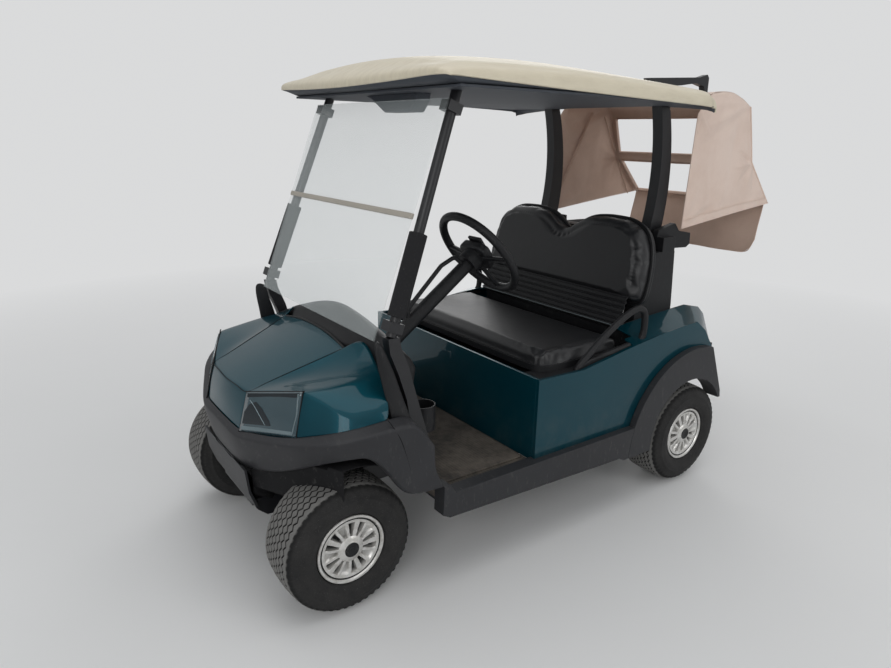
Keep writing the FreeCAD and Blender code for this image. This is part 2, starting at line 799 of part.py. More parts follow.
def rear_body(seat_back):
    nodes = {}
    side_low = body_half_width - panel_wall
    nodes["seat_box_front"] = block((-side_low, side_low), (rear(seat_front), rear(seat_front + panel_wall)),
                                    (floor_top, seat_front_top))
    arch = rod((-700, rear_axle, axle_height), (700, rear_axle, axle_height), flare_radius)
    side = side_slab(
        [
            (rear(seat_front), sill_top), (rear(seat_front), seat_front_top), (rear(-697.0), 662.0),
            (rear(-406.0), 709.0), (rear(-247.0), 730.0), (rear(-114.0), 742.0), (rear(2.0), 749.0),
            (rear(71.0), 700.0), (rear(143.0), 609.0), (rear(143.0), sill_top),
        ],
        side_low, body_half_width,
    )
    well_side = side_slab(
        [
            (rear(-335.0), deck_level - 6.0), (rear(-335.0), 753.0), (rear(-247.0), 762.0),
            (rear(-80.0), 774.0), (rear(90.0), 785.0), (rear(201.0), 761.0), (rear(249.0), 722.0),
            (rear(body_rear), 560.0), (rear(body_rear), deck_level - 6.0),
        ],
        well_half_width, well_half_width + wall,
    )
    # The shoulder between the side and the bag well: the outer edge, then the inner edge
    shoulder = [
        [(-406, 709), (-247, 730), (-114, 742), (2, 749), (71, 700), (143, 609)],
        [(-406, 746), (-247, 762), (-80, 774), (90, 785), (201, 761), (249, 722)],
    ]
    lines = [
        [V(x, rear(y), z) for y, z in line]
        for x, line in zip((side_low + wall, well_half_width + wall + seat_gap), shoulder)
    ]
    ledge = skin(lines, wall).cut(seat_swing())
    quarter = side.fuse(ledge).cut(arch).cut(well_side).removeSplitter()
    nodes.update(both("quarter_panels", quarter))

    flare_diagonal = flare_radius * math.sqrt(0.5)
    flare = side_slab(
        [
            (rear(-flare_radius), axle_height),
            ((rear(-flare_diagonal), axle_height + flare_diagonal), (rear(0.0), axle_height + flare_radius)),
            (rear(104.0), 626.0), (rear(206.0), 400.0), (rear(212.0), 367.0), (rear(196.0), 367.0),
            ((rear(-30.0), 497.0), (rear(-arch_radius), axle_height)),
        ],
        side_low - 30.0, cart_half_width,
    )
    inner_cut = side_slab([(rear(-500.0), 0), (rear(250.0), 0), (rear(250.0), 900), (rear(-500.0), 900)],
                          side_low - 31.0, body_half_width)
    rim_line = rod((-700, rear_axle, axle_height), (700, rear_axle, axle_height), flare_radius - 30.0)
    flare = flare.cut(inner_cut.cut(rim_line))
    nodes.update(both("rear_flares", flare))

    sill = side_slab(
        [
            (front(300.0), 284.0), (front(304.0), sill_top + 30.0), (front(332.0), sill_top + 30.0),
            (front(350.0), sill_top), (rear(-340.0), sill_top), (rear(-340.0), 226.0),
            (rear(-440.0), 226.0), (rear(-470.0), 240.0), (front(330.0), 268.0),
        ],
        floor_half_width, cart_half_width,
    )
    clear_arch = rod((-700, rear_axle, axle_height), (700, rear_axle, axle_height),
                     flare_radius + seat_gap)
    sill = sill.cut(clear_arch).cut(side)
    nodes.update(both("sills", sill))
    nodes["seat_box_front"] = nodes["seat_box_front"].cut(nodes["sills"])

    deck = side_slab(
        [
            (rear(-335.0), deck_level - 6.0), (rear(-335.0), shelf_top), (rear(0.0), shelf_top),
            (rear(0.0), deck_level), (rear(body_rear), deck_level),
            (rear(body_rear), deck_level - 6.0), (rear(-6.0), deck_level - 6.0),
            (rear(-6.0), shelf_top - 8.0), (rear(-327.0), shelf_top - 8.0),
            (rear(-327.0), deck_level - 6.0),
        ],
        -well_half_width, well_half_width,
    )
    nodes["rear_deck"] = deck.fuse([well_side, mirrored(well_side)]).removeSplitter()
    bumper = block((-well_half_width - wall, well_half_width + wall),
                   (rear(body_rear), rear(body_rear + bumper_depth)), (400.0, 560.0))
    for x in (-hitch_spacing_x / 2, hitch_spacing_x / 2):
        for z in (hitch_level - hitch_spacing_z / 2, hitch_level + hitch_spacing_z / 2):
            start, end = rear(body_rear - 1.0), rear(body_rear + bumper_depth + 1.0)
            bumper = bumper.cut(rod((x, start, z), (x, end, z), hitch_hole_radius))
    nodes["rear_bumper"] = bumper
    ledge_low = cushion_bottom - seat_gap - 14.0
    nodes.update(both("seat_ledges", block((450.0, side_low), (rear(seat_front + panel_wall), rear(-400.0)),
                                           (ledge_low, cushion_bottom - seat_gap))))
    nodes["battery_pack"] = block((-430.0, 430.0), (rear(-880.0), rear(-475.0)),
                                  (rail_bottom + rail_height, 580.0))

    column = side_slab(
        [
            (rear(-250.0), shelf_top), (rear(-250.0), crossbar_top - 60.0),
            (rear(-20.0), crossbar_top - 60.0), (rear(-2.0), 800.0), (rear(-2.0), shelf_top),
        ],
        back_post_x - back_post_half, back_post_x + back_post_half,
    )
    column = max(column.cut(seat_back).Solids, key=lambda solid: solid.Volume)
    crossbar = block((-back_post_x - back_post_half, back_post_x + back_post_half), (rear(-105.0), rear(-22.0)),
                     (crossbar_top - 60.0, crossbar_top))
    bracket = side_slab(
        [
            (rear(-105.0), crossbar_top), (rear(-98.0), 1128.0), (rear(12.0), 1152.0), (rear(46.0), 1117.0),
            (rear(130.0), 1103.0), (rear(134.0), 1053.0), (rear(110.0), 1039.0), (rear(-30.0), 1044.0),
        ],
        back_post_x - 32.0, back_post_x - 6.0,
    )
    crossbar = crossbar.fuse([bracket, mirrored(bracket)]).cut(seat_back)
    nodes["seat_back_frame"] = crossbar.fuse([column, mirrored(column)]).removeSplitter()
    rack = bent_tube(
        [
            (strut_x, rear(-22.0), crossbar_top - 30.0), (strut_x, rear(rack_reach), crossbar_top - 30.0),
            (-strut_x, rear(rack_reach), crossbar_top - 30.0), (-strut_x, rear(-22.0), crossbar_top - 30.0),
        ],
        14.0, 60.0,
    )
    nodes["bag_rack"] = rack

    outer = [
        (rear(-716.0), 640.0), (rear(-700.0), 676.0),
        ((rear(-560.0), 779.0), (rear(-452.0), 840.0)),
        ((rear(-395.0), 866.0), (rear(-350.0), 862.0)),
        ((rear(-318.0), 840.0), (rear(-308.0), 790.0)),
        (rear(-308.0), 700.0), (rear(-402.0), 690.0),
    ]
    inner = [
        (rear(-618.0), 694.0), ((rear(-512.0), 761.0), (rear(-420.0), 812.0)),
        ((rear(-372.0), 822.0), (rear(-352.0), 798.0)), (rear(-352.0), 768.0), (rear(-392.0), 724.0),
    ]
    arm = side_slab(outer, side_low - 36.0, side_low).cut(side_slab(inner, side_low - 40.0, side_low + 4.0))
    arm = max(arm.cut(quarter).cut(nodes["seat_ledges"]).Solids, key=lambda solid: solid.Volume)
    nodes.update(both("armrests", arm))
    light = block((well_half_width + wall, well_half_width + 65.0), (rear(212.0), rear(240.0)), (630.0, 700.0))
    light = light.cut(quarter)
    nodes.update(both("tail_lights", max(light.Solids, key=lambda solid: solid.Volume)))
    return nodes


def bag_cover(nodes_before):
    nodes = {}
    half = cover_half_width
    # The cover's side outline: (station from the rear axle, z)
    profile = [
        (rear(63.0), 1602.0), (rear(145.0), 1682.0), (rear(304.0), 1705.0), (rear(450.0), 1664.0),
        (rear(573.0), 1278.0), (rear(742.0), 1191.0), (rear(687.0), 1031.0), (rear(592.0), 984.0),
        (rear(300.0), 1010.0), (rear(205.0), 1052.0), (rear(66.0), 1125.0),
    ]
    outer = side_slab(profile, -half, half)
    core = side_slab(
        [
            (rear(40.0), 1590.0), (rear(150.0), 1677.0), (rear(303.0), 1700.0), (rear(446.0), 1661.0),
            (rear(570.0), 1274.0), (rear(737.0), 1189.0), (rear(683.0), 1028.0), (rear(590.0), 960.0),
            (rear(200.0), 960.0), (rear(40.0), 1080.0),
        ],
        -half + cloth, half - cloth,
    )
    # Windows in the rear panel: low and high station, then low and high z
    windows = [
        block((-half + hem, half - hem), (rear(near), rear(far)), (low, high))
        for near, far, low, high in ((440.0, 560.0, 1433.0, 1606.0), (500.0, 690.0, 1226.0, 1390.0))
    ]
    nodes["bag_cover"] = outer.cut(core).cut(Part.makeCompound(windows))
    arm = side_slab(
        [
            (rear(-268.0), 1700.0), (rear(-268.0), 1728.0), (rear(60.0), 1750.0), (rear(112.0), 1764.0),
            (rear(124.0), 1752.0), (rear(126.0), 1650.0), (rear(104.0), 1690.0), (rear(96.0), 1716.0),
            (rear(40.0), 1726.0), (rear(-60.0), 1712.0),
        ],
        half - 36.0, half - 10.0,
    )
    arm = arm.cut(outer).cut(nodes_before["roof"])
    nodes.update(both("cover_arms", max(arm.Solids, key=lambda solid: solid.Volume)))
    return nodes


def fittings():
    nodes = {}
    pedals = []
    # Middle x and half width of the brake pedal and the throttle pedal
    for x, half in ((300.0, 46.0), (176.0, 30.0)):
        pedals.append(side_slab(
            [
                (front(toe_foot - 8.0), 392.0), (front(toe_foot + 34.0), 400.0),
                (front(toe_foot + 4.0), 486.0), (front(toe_foot - 8.0), 484.0),
                (front(toe_foot + 20.0), 410.0), (front(toe_foot - 14.0), 404.0),
            ],
            x - half, x + half,
        ).cut(nodes_floor()))
    nodes["pedals"] = Part.makeCompound(pedals)
    cups = []
    for x in (cup_x, -cup_x):
        y = front(cup_station)
        cup = rod((x, y, cup_low), (x, y, cup_low + cup_depth), cup_radius)
        arm = block((x - 20.0, x + 20.0), (front(215.0), y), (cup_low + 20.0, cup_low + 44.0))
        cup = cup.fuse(arm)
        cup = cup.cut(rod((x, y, cup_low + 3.0), (x, y, cup_low + cup_depth + 1.0), cup_radius - 4.0))
        cup = cup.cut(nodes_floor())
        cups.append(max(cup.Solids, key=lambda solid: solid.CenterOfMass.y))
    nodes["cup_holders"] = Part.makeCompound(cups)
    return nodes


def nodes_floor():
    """The dash and the toe board, which the fittings butt against."""
    return nodes["floor_pan"].fuse(nodes["dash"])


def export(nodes):
    os.makedirs("parts", exist_ok=True)
    for name, shape in nodes.items():
        shape.exportStep("parts/" + name + ".step")


nodes = {}
for build in (wheels, axles, springs, frame, front_body, steering, upper_works, seats):
    nodes.update(build())
nodes.update(bag_cover(nodes))
nodes.update(rear_body(nodes["seat_back"]))
nodes.update(fittings())
export(nodes)
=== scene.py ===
import math

import bmesh
import bpy
from mathutils import Matrix, Vector, kdtree, noise

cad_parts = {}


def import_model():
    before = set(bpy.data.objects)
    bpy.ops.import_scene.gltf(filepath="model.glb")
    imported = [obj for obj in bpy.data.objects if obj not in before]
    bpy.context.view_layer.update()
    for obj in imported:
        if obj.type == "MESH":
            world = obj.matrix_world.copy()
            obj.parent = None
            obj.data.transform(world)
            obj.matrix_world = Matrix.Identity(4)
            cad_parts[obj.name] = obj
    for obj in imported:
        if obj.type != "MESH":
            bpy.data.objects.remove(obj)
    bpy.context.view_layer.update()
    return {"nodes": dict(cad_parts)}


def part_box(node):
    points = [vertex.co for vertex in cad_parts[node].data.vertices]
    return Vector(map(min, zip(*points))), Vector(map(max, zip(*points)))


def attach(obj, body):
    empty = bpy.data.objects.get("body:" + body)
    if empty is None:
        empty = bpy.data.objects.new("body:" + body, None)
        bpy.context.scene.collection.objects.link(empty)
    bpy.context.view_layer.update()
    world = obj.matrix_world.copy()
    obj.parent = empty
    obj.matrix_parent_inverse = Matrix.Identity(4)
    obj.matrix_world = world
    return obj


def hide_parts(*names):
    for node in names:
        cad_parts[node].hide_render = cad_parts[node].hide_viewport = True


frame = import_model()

# Golf cart with two seats. Places are in millimetres and count from the front or the rear axle.
nodes = frame["nodes"]
scene = bpy.context.scene
mm = 0.001


def middleOf(node):
    low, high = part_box(node)
    return (low + high) / 2


frontAxle = middleOf("front_tyre_left").y
rearAxle = middleOf("rear_tyre_left").y


def fore(x, y, z):
    return Vector((x * mm, frontAxle + y * mm, z * mm))


def aft(x, y, z):
    return Vector((x * mm, rearAxle + y * mm, z * mm))


def within(value, low, high):
    return max(low, min(high, value))


# Shaders

def connect(tree, slot, value):
    if isinstance(value, Wire):
        tree.links.new(value.socket, slot)
    elif isinstance(value, tuple) and len(slot.default_value) == 4 and len(value) == 3:
        slot.default_value = value + (1.0,)
    else:
        slot.default_value = value


def arithmetic(tree, operation, *values):
    node = tree.nodes.new("ShaderNodeMath")
    node.operation = operation
    for slot, value in zip(node.inputs, values):
        connect(tree, slot, value)
    return Wire(tree, node.outputs[0])


class Wire:
    # The output of a shader node. Sums of wires make Math nodes.
    def __init__(self, tree, socket):
        self.tree = tree
        self.socket = socket

    def __add__(self, other):
        return arithmetic(self.tree, "ADD", self, other)

    def __radd__(self, other):
        return arithmetic(self.tree, "ADD", other, self)

    def __sub__(self, other):
        return arithmetic(self.tree, "SUBTRACT", self, other)

    def __rsub__(self, other):
        return arithmetic(self.tree, "SUBTRACT", other, self)

    def __mul__(self, other):
        return arithmetic(self.tree, "MULTIPLY", self, other)

    def __rmul__(self, other):
        return arithmetic(self.tree, "MULTIPLY", other, self)

    def __truediv__(self, other):
        return arithmetic(self.tree, "DIVIDE", self, other)

    def __rtruediv__(self, other):
        return arithmetic(self.tree, "DIVIDE", other, self)

    def sine(self):
        return arithmetic(self.tree, "SINE", self)

    def clamped(self):
        wire = arithmetic(self.tree, "ADD", self, 0.0)
        wire.socket.node.use_clamp = True
        return wire

    def above(self, limit, spread):
        return ((self - limit) / spread).clamped()


class Finish:
    # A material. Steady values sit on the shader's sockets, and wires feed the others.
    def __init__(self, name, steady):
        self.material = bpy.data.materials.new(name)
        self.material.use_nodes = True
        self.tree = self.material.node_tree
        self.shader = self.tree.nodes["Principled BSDF"]
        self.feed(**steady)

    def feed(self, **values):
        for name, value in values.items():
            connect(self.tree, self.shader.inputs[name.replace("_", " ")], value)

    def node(self, kind, inputs=None, stops=None, output=0):
        made = self.tree.nodes.new("ShaderNode" + kind)
        if stops:
            ramp = made.color_ramp.elements
            while len(ramp) < len(stops):
                ramp.new(1.0)
            for element, (position, shade) in zip(ramp, stops):
                element.position = position
                element.color = (shade, shade, shade, 1.0)
        for name, value in (inputs or {}).items():
            connect(self.tree, made.inputs[name], value)
        return Wire(self.tree, made.outputs[output])

    def place(self, stretch=(1.0, 1.0, 1.0)):
        spot = self.node("TexCoord", output="Object")
        return self.node("Mapping", inputs={"Vector": spot, "Scale": stretch})

    def axis(self, name):
        spot = self.node("TexCoord", output="Object")
        return self.node("SeparateXYZ", inputs={"Vector": spot}, output=name)

    def cloud(self, scale, detail=4.0, rough=0.55, stretch=(1.0, 1.0, 1.0)):
        inputs = {"Vector": self.place(stretch), "Scale": scale, "Detail": detail, "Roughness": rough}
        return self.node("TexNoise", inputs=inputs)

    def cells(self, scale):
        return self.node("TexVoronoi", inputs={"Vector": self.place(), "Scale": scale})

    def ramp(self, wire, *stops):
        return self.node("ValToRGB", inputs={"Fac": wire}, stops=stops)

    def mix(self, factor, first, second):
        made = self.tree.nodes.new("ShaderNodeMix")
        made.data_type = "RGBA"
        for index, value in ((0, factor), (6, first), (7, second)):
            connect(self.tree, made.inputs[index], value)
        return Wire(self.tree, made.outputs[2])

    def bump(self, *layers):
        # Each layer is (height, distance in metres, strength)
        normal = None
        for height, distance, strength in layers:
            inputs = {"Height": height, "Distance": distance, "Strength": strength}
            if normal:
                inputs["Normal"] = normal
            normal = self.node("Bump", inputs=inputs)
        self.feed(Normal=normal)


def paintFinish():
    made = Finish("teal_paint", {"Metallic": 0.4, "Coat_Weight": 0.75, "Coat_Roughness": 0.03,
                                 "Coat_IOR": 1.33, "Specular_IOR_Level": 0.06})
    flakes = made.ramp(made.cells(2600.0), (0.15, 1.0), (0.55, 0.0))
    shade = made.mix(made.cloud(2.2, 3.0), (0.0002, 0.034, 0.052), (0.0005, 0.052, 0.073))
    shade = made.mix(flakes * 0.12, shade, (0.01, 0.22, 0.26))
    dust = made.cloud(9.0, 8.0, 0.7)
    low = 1.0 - made.axis("Z").above(0.36, 0.22)
    shade = made.mix(low * dust.above(0.45, 0.4) * 0.3, shade, (0.13, 0.125, 0.11))
    made.feed(Base_Color=shade)
    made.feed(Roughness=0.26 + dust * 0.16)
    made.bump((made.cloud(150.0, 2.0), 0.0006, 0.05))
    return made.material


def mouldedFinish(name, dark, light, rough):
    made = Finish(name, {"Specular_IOR_Level": 0.28})
    patches = made.cloud(5.0, 6.0, 0.65)
    scuffs = made.ramp(made.cloud(26.0, 9.0, 0.75, (1.0, 3.0, 1.0)), (0.56, 0.0), (0.74, 1.0))
    shade = made.mix(patches, dark, light)
    low = 1.0 - made.axis("Z").above(0.25, 0.5)
    shade = made.mix(scuffs * (low * 0.3 + 0.12), shade, (0.19, 0.185, 0.175))
    made.feed(Base_Color=shade)
    made.feed(Roughness=rough + patches * 0.14)
    made.bump((made.cells(420.0), 0.0004, 0.22), (made.cloud(9.0, 2.0), 0.002, 0.08))
    return made.material


def steelFinish(name, dark, light, rough, metal=0.0):
    made = Finish(name, {"Metallic": metal})
    patches = made.cloud(14.0, 6.0, 0.6)
    made.feed(Base_Color=made.mix(patches, dark, light))
    made.feed(Roughness=rough + patches * 0.15)
    made.bump((made.cloud(340.0, 3.0), 0.0003, 0.15))
    return made.material


def wheelFinish():
    settings = {"pocketFrom": 0.066, "pocketFade": 0.013, "pocketShare": 0.92}
    made = Finish("silver_lacquer", {"Coat_Weight": 0.4, "Coat_Roughness": 0.12})
    dirt = made.cloud(38.0, 8.0, 0.7)
    shade = made.mix(dirt.above(0.42, 0.35), (0.72, 0.71, 0.69), (0.40, 0.385, 0.35))
    # Painted shade: the pockets between the spokes, behind the cover's face, are darkened, and made less
    # metallic and rougher
    pocket = 1.0 - made.axis("X").above(settings["pocketFrom"], settings["pocketFade"])
    shade = made.mix(pocket * settings["pocketShare"], shade, (0.02, 0.019, 0.018))
    made.feed(Base_Color=shade)
    made.feed(Metallic=0.75 - pocket * 0.6)
    made.feed(Roughness=0.24 + dirt * 0.22 + pocket * 0.3)
    made.bump((made.cloud(300.0, 3.0), 0.0003, 0.12))
    return made.material


def rubberFinish(name, dark, dusty, cover, rough=0.72, tread=False):
    settings = {"crown": 0.2256, "crownFall": 0.85, "treadFrom": 0.205, "treadFade": 0.008,
                "grooveFrom": 0.0008, "grooveFade": 0.0028}
    made = Finish(name, {"Specular_IOR_Level": 0.35})
    dust = made.cloud(16.0, 9.0, 0.75)
    specks = made.ramp(made.cloud(190.0, 4.0, 0.8), (0.60, 0.0), (0.72, 1.0))
    shade = made.mix(dust.above(0.35, 0.5) * cover, dark, dusty)
    shade = made.mix(specks * 0.35, shade, (0.20, 0.195, 0.185))
    if tread:
        # Blocks are paler, and the grooves are darkened as painted shade: the depth below the crown, about
        # the X axis
        across, along, up = made.axis("X"), made.axis("Y"), made.axis("Z")
        radius = arithmetic(made.tree, "SQRT", along * along + up * up)
        depth = settings["crown"] - across * across * settings["crownFall"] - radius
        onTread = radius.above(settings["treadFrom"], settings["treadFade"])
        block = 1.0 - depth.above(settings["grooveFrom"], settings["grooveFade"])
        palePatches = made.mix(made.cloud(30.0, 6.0, 0.7), (0.15, 0.147, 0.14), (0.26, 0.255, 0.245))
        shade = made.mix(onTread * block * 0.8, shade, palePatches)
        # Painted shade: the grooves are darker than the rubber itself
        shade = made.mix(onTread * (1.0 - block), shade, (0.006, 0.006, 0.006))
    made.feed(Base_Color=shade)
    made.feed(Roughness=rough + dust * 0.2)
    made.bump((made.cloud(520.0, 4.0), 0.0005, 0.3), (made.cloud(40.0, 3.0), 0.001, 0.15))
    return made.material


def vinylFinish():
    made = Finish("seat_vinyl", {"Specular_IOR_Level": 0.5})
    grain = made.cells(300.0)
    crease = made.ramp(made.cloud(7.0, 5.0, 0.6), (0.46, 0.0), (0.5, 1.0), (0.54, 0.0))
    patches = made.cloud(6.0, 5.0, 0.6)
    made.feed(Base_Color=made.mix(patches, (0.0075, 0.008, 0.0095), (0.016, 0.0165, 0.018)))
    made.feed(Roughness=0.36 + patches * 0.16)
    made.bump((grain, 0.0006, 0.28), (made.cloud(34.0, 3.0), 0.0022, 0.18), (crease, 0.0012, 0.08))
    return made.material


def roofFinish():
    made = Finish("cream_shell", {"Coat_Weight": 0.25, "Coat_Roughness": 0.25})
    streaks = made.cloud(6.0, 7.0, 0.7, (7.0, 0.8, 3.0))
    spots = made.ramp(made.cloud(60.0, 6.0, 0.75), (0.62, 0.0), (0.78, 1.0))
    shade = made.mix(streaks.above(0.4, 0.4), (0.72, 0.65, 0.50), (0.60, 0.53, 0.40))
    shade = made.mix(spots * 0.35, shade, (0.42, 0.37, 0.28))
    made.feed(Base_Color=shade)
    made.feed(Roughness=0.38 + streaks * 0.2)
    made.bump((made.cloud(260.0, 3.0), 0.0004, 0.15), (streaks, 0.002, 0.06))
    return made.material


def screenFinish():
    made = Finish("clear_acrylic", {"Base_Color": (0.80, 0.86, 0.86), "Roughness": 0.06, "IOR": 1.3})
    edge = made.node("LayerWeight", inputs={"Blend": 0.35}, output="Facing")
    haze = made.cloud(5.0, 6.0, 0.7, (1.0, 1.0, 2.5))
    made.feed(Alpha=0.04 + edge * 0.30 + haze * 0.06)
    return made.material


def smokedFinish(name, shade, gloss=1.0):
    made = Finish(name, {"Coat_Weight": gloss, "Coat_Roughness": 0.02, "Coat_IOR": 1.4})
    haze = made.cloud(12.0, 5.0, 0.6)
    made.feed(Base_Color=made.mix(haze, shade, tuple(part * 1.5 for part in shade)))
    made.feed(Roughness=0.1 + haze * 0.1)
    return made.material


def clothFinish(name, light, dark):
    threads = 5200.0
    made = Finish(name, {"Sheen_Weight": 0.25, "Specular_IOR_Level": 0.2})
    warp = (made.axis("Z") * threads).sine()
    weft = ((made.axis("X") + made.axis("Y")) * threads).sine()
    weave = (warp + weft) * 0.25 + 0.5
    stain = made.cloud(4.0, 7.0, 0.65)
    shade = made.mix(stain.above(0.38, 0.35), light, dark)
    shade = made.mix(weave * 0.14, shade, (0.28, 0.20, 0.16))
    made.feed(Base_Color=shade)
    made.feed(Roughness=0.82 + stain * 0.12)
    made.bump((weave, 0.0004, 0.3), (made.cloud(24.0, 5.0, 0.6), 0.004, 0.22))
    return made.material


def matFinish():
    made = Finish("floor_rubber", {"Specular_IOR_Level": 0.3})
    palePatches = made.cloud(7.0, 8.0, 0.72)
    ribs = (made.axis("Y") * 520.0).sine()
    shade = made.mix(palePatches.above(0.4, 0.35), (0.045, 0.04, 0.036), (0.17, 0.145, 0.12))
    made.feed(Base_Color=shade)
    made.feed(Roughness=0.7 + palePatches * 0.2)
    made.bump((ribs, 0.0012, 0.35), (made.cloud(120.0, 5.0, 0.7), 0.001, 0.4))
    return made.material


finishes = {
    "paint": paintFinish(),
    "charcoal": mouldedFinish("charcoal_trim", (0.020, 0.0205, 0.023), (0.036, 0.0365, 0.040), 0.42),
    "plastic": mouldedFinish("black_plastic", (0.007, 0.0073, 0.0085), (0.016, 0.0163, 0.018), 0.42),
    "seam": mouldedFinish("seam_shadow", (0.004, 0.004, 0.005), (0.008, 0.008, 0.009), 0.7),
    "blackSteel": steelFinish("black_steel", (0.007, 0.0073, 0.009), (0.016, 0.0163, 0.019), 0.34),
    "brightSteel": steelFinish("bright_steel", (0.42, 0.42, 0.41), (0.62, 0.62, 0.61), 0.28, 1.0),
    "castMetal": steelFinish("cast_metal", (0.09, 0.09, 0.09), (0.18, 0.18, 0.175), 0.5, 0.6),
    "battery": steelFinish("battery_case", (0.02, 0.02, 0.021), (0.045, 0.045, 0.046), 0.5),
    "silver": wheelFinish(),
    "tyre": rubberFinish("tyre_rubber", (0.012, 0.0118, 0.0122), (0.050, 0.048, 0.046), 0.7, tread=True),
    "foam": rubberFinish("foam_sleeve", (0.011, 0.011, 0.0125), (0.03, 0.03, 0.032), 0.3, 0.8),
    "vinyl": vinylFinish(),
    "roof": roofFinish(),
    "lining": mouldedFinish("dark_lining", (0.050, 0.056, 0.068), (0.072, 0.080, 0.094), 0.6),
    "screen": screenFinish(),
    "strip": mouldedFinish("fold_strip", (0.38, 0.35, 0.30), (0.52, 0.48, 0.42), 0.55),
    "mat": matFinish(),
    "cloth": clothFinish("cover_cloth", (0.84, 0.68, 0.59), (0.74, 0.57, 0.48)),
    # A darker copy of the cover cloth: painted shade for the cover's inner faces, flap, window bindings and
    # stays
    "clothInside": clothFinish("cover_cloth_inside", (0.66, 0.49, 0.40), (0.54, 0.38, 0.30)),
    "smoked": smokedFinish("smoked_lens", (0.024, 0.050, 0.062)),
    "lensDark": smokedFinish("lens_shadow", (0.003, 0.008, 0.012), 0.25),
    "lampTrim": steelFinish("lamp_trim", (0.13, 0.18, 0.20), (0.22, 0.28, 0.30), 0.25, 0.4),
    "piping": mouldedFinish("grey_piping", (0.10, 0.13, 0.14), (0.16, 0.19, 0.20), 0.35),
    "redLens": steelFinish("red_lens", (0.26, 0.004, 0.004), (0.42, 0.012, 0.01), 0.12),
}
print("finishes made:", len(finishes))


# Mesh helpers

def addModifier(piece, kind, **settings):
    made = piece.modifiers.new(kind.lower(), kind)
    for name, value in settings.items():
        setattr(made, name, value)
    return made


def applyModifiers(piece):
    graph = bpy.context.evaluated_depsgraph_get()
    mesh = bpy.data.meshes.new_from_object(piece.evaluated_get(graph))
    piece.modifiers.clear()
    old = piece.data
    piece.data = mesh
    bpy.data.meshes.remove(old)


def smooth(piece, angle=40.0):
    piece.data.shade_smooth()
    if angle:
        piece.data.set_sharp_from_angle(angle=math.radians(angle))


def makeMesh(name, points, faces):
    mesh = bpy.data.meshes.new(name)
    mesh.from_pydata([tuple(point) for point in points], [], faces)
    mesh.validate()
    piece = bpy.data.objects.new(name, mesh)
    scene.collection.objects.link(piece)
    return piece


def recalculate(piece):
    tool = bmesh.new()
    tool.from_mesh(piece.data)
    bmesh.ops.remove_doubles(tool, verts=tool.verts, dist=1e-5)
    bmesh.ops.recalc_face_normals(tool, faces=tool.faces)
    tool.to_mesh(piece.data)
    tool.free()


def netPiece(name, rows, ringRows=False, ringColumns=False, ends=False):
    # A grid of points, given as rows, as a mesh
    height, width = len(rows), len(rows[0])
    points = [point for row in rows for point in row]
    faces = []
    for i in range(height if ringRows else height - 1):
        for j in range(width if ringColumns else width - 1):
            a, b = i * width, ((i + 1) % height) * width
            c, d = j, (j + 1) % width
            faces.append((a + c, b + c, b + d, a + d))
    if ends:
        faces.append(tuple(range(width)))
        faces.append(tuple(range((height - 1) * width, height * width)))
    return makeMesh(name, points, faces)


def fineRows(rows, along, across):
    # More rows and columns, on smooth curves through the given points
    wide = [curveThrough(row, along) for row in rows]
    columns = [curveThrough([row[j] for row in wide], across) for j in range(len(wide[0]))]
    return [[column[i] for column in columns] for i in range(len(columns[0]))]


def creaseNet(piece, width, columns=(), lines=(), amount=1.0):
    # Creases along whole rows or columns of a net, before its subdivision
    layer = piece.data.attributes.get("crease_edge")
    if not layer:
        layer = piece.data.attributes.new("crease_edge", "FLOAT", "EDGE")
    for edge in piece.data.edges:
        (i, a), (j, b) = (divmod(v, width) for v in edge.vertices)
        inRow = i == j and i in lines
        inColumn = a == b and a in columns
        if inRow or inColumn:
            layer.data[edge.index].value = amount


def joined(name, pieces):
    tool = bmesh.new()
    for piece in pieces:
        start = len(tool.verts)
        tool.from_mesh(piece.data)
        tool.verts.ensure_lookup_table()
        bmesh.ops.transform(tool, matrix=piece.matrix_world, verts=tool.verts[start:])
    mesh = bpy.data.meshes.new(name)
    tool.to_mesh(mesh)
    tool.free()
    for piece in pieces:
        bpy.data.objects.remove(piece)
    whole = bpy.data.objects.new(name, mesh)
    scene.collection.objects.link(whole)
    return whole


def mirrorNet(rows):
    # The other half of a symmetric net that starts at the middle line
    other = [[Vector((-p.x, p.y, p.z)) for p in row] for row in rows[:0:-1]]
    return other + rows


def mirrorCopy(piece, name):
    copy = bpy.data.objects.new(name, piece.data.copy())
    scene.collection.objects.link(copy)
    copy.data.transform(Matrix.Scale(-1.0, 4, Vector((1, 0, 0))))
    copy.data.flip_normals()
    for made in piece.modifiers:
        twin = copy.modifiers.new(made.name, made.type)
        for item in made.bl_rna.properties:
            if not item.is_readonly:
                setattr(twin, item.identifier, getattr(made, item.identifier))
    return copy


def prism(name, outline, depth, bevel=0.0, segments=3):
    # A flat closed outline given a thickness along the vector depth, with rounded edges
    count = len(outline)
    points = list(outline) + [point + depth for point in outline]
    faces = [tuple(range(count))[::-1], tuple(range(count, 2 * count))]
    for k in range(count):
        n = (k + 1) % count
        faces.append((k, n, count + n, count + k))
    piece = makeMesh(name, points, faces)
    recalculate(piece)
    if bevel:
        addModifier(piece, "BEVEL", width=bevel * mm, segments=segments, limit_method="ANGLE",
                    angle_limit=0.5)
    smooth(piece)
    return piece


def curveThrough(points, steps, closed=False):
    # Catmull-Rom curve through the points
    count = len(points)
    found = []
    spans = count if closed else count - 1

    def at(k):
        return points[k % count] if closed else points[within(k, 0, count - 1)]

    for k in range(spans):
        a, b, c, d = at(k - 1), at(k), at(k + 1), at(k + 2)
        for n in range(steps):
            t = n / steps
            found.append(0.5 * (2 * b + (c - a) * t + (2 * a - 5 * b + 4 * c - d) * t * t
                                + (3 * b - 3 * c + d - a) * t ** 3))
    if not closed:
        found.append(points[-1].copy())
    return found


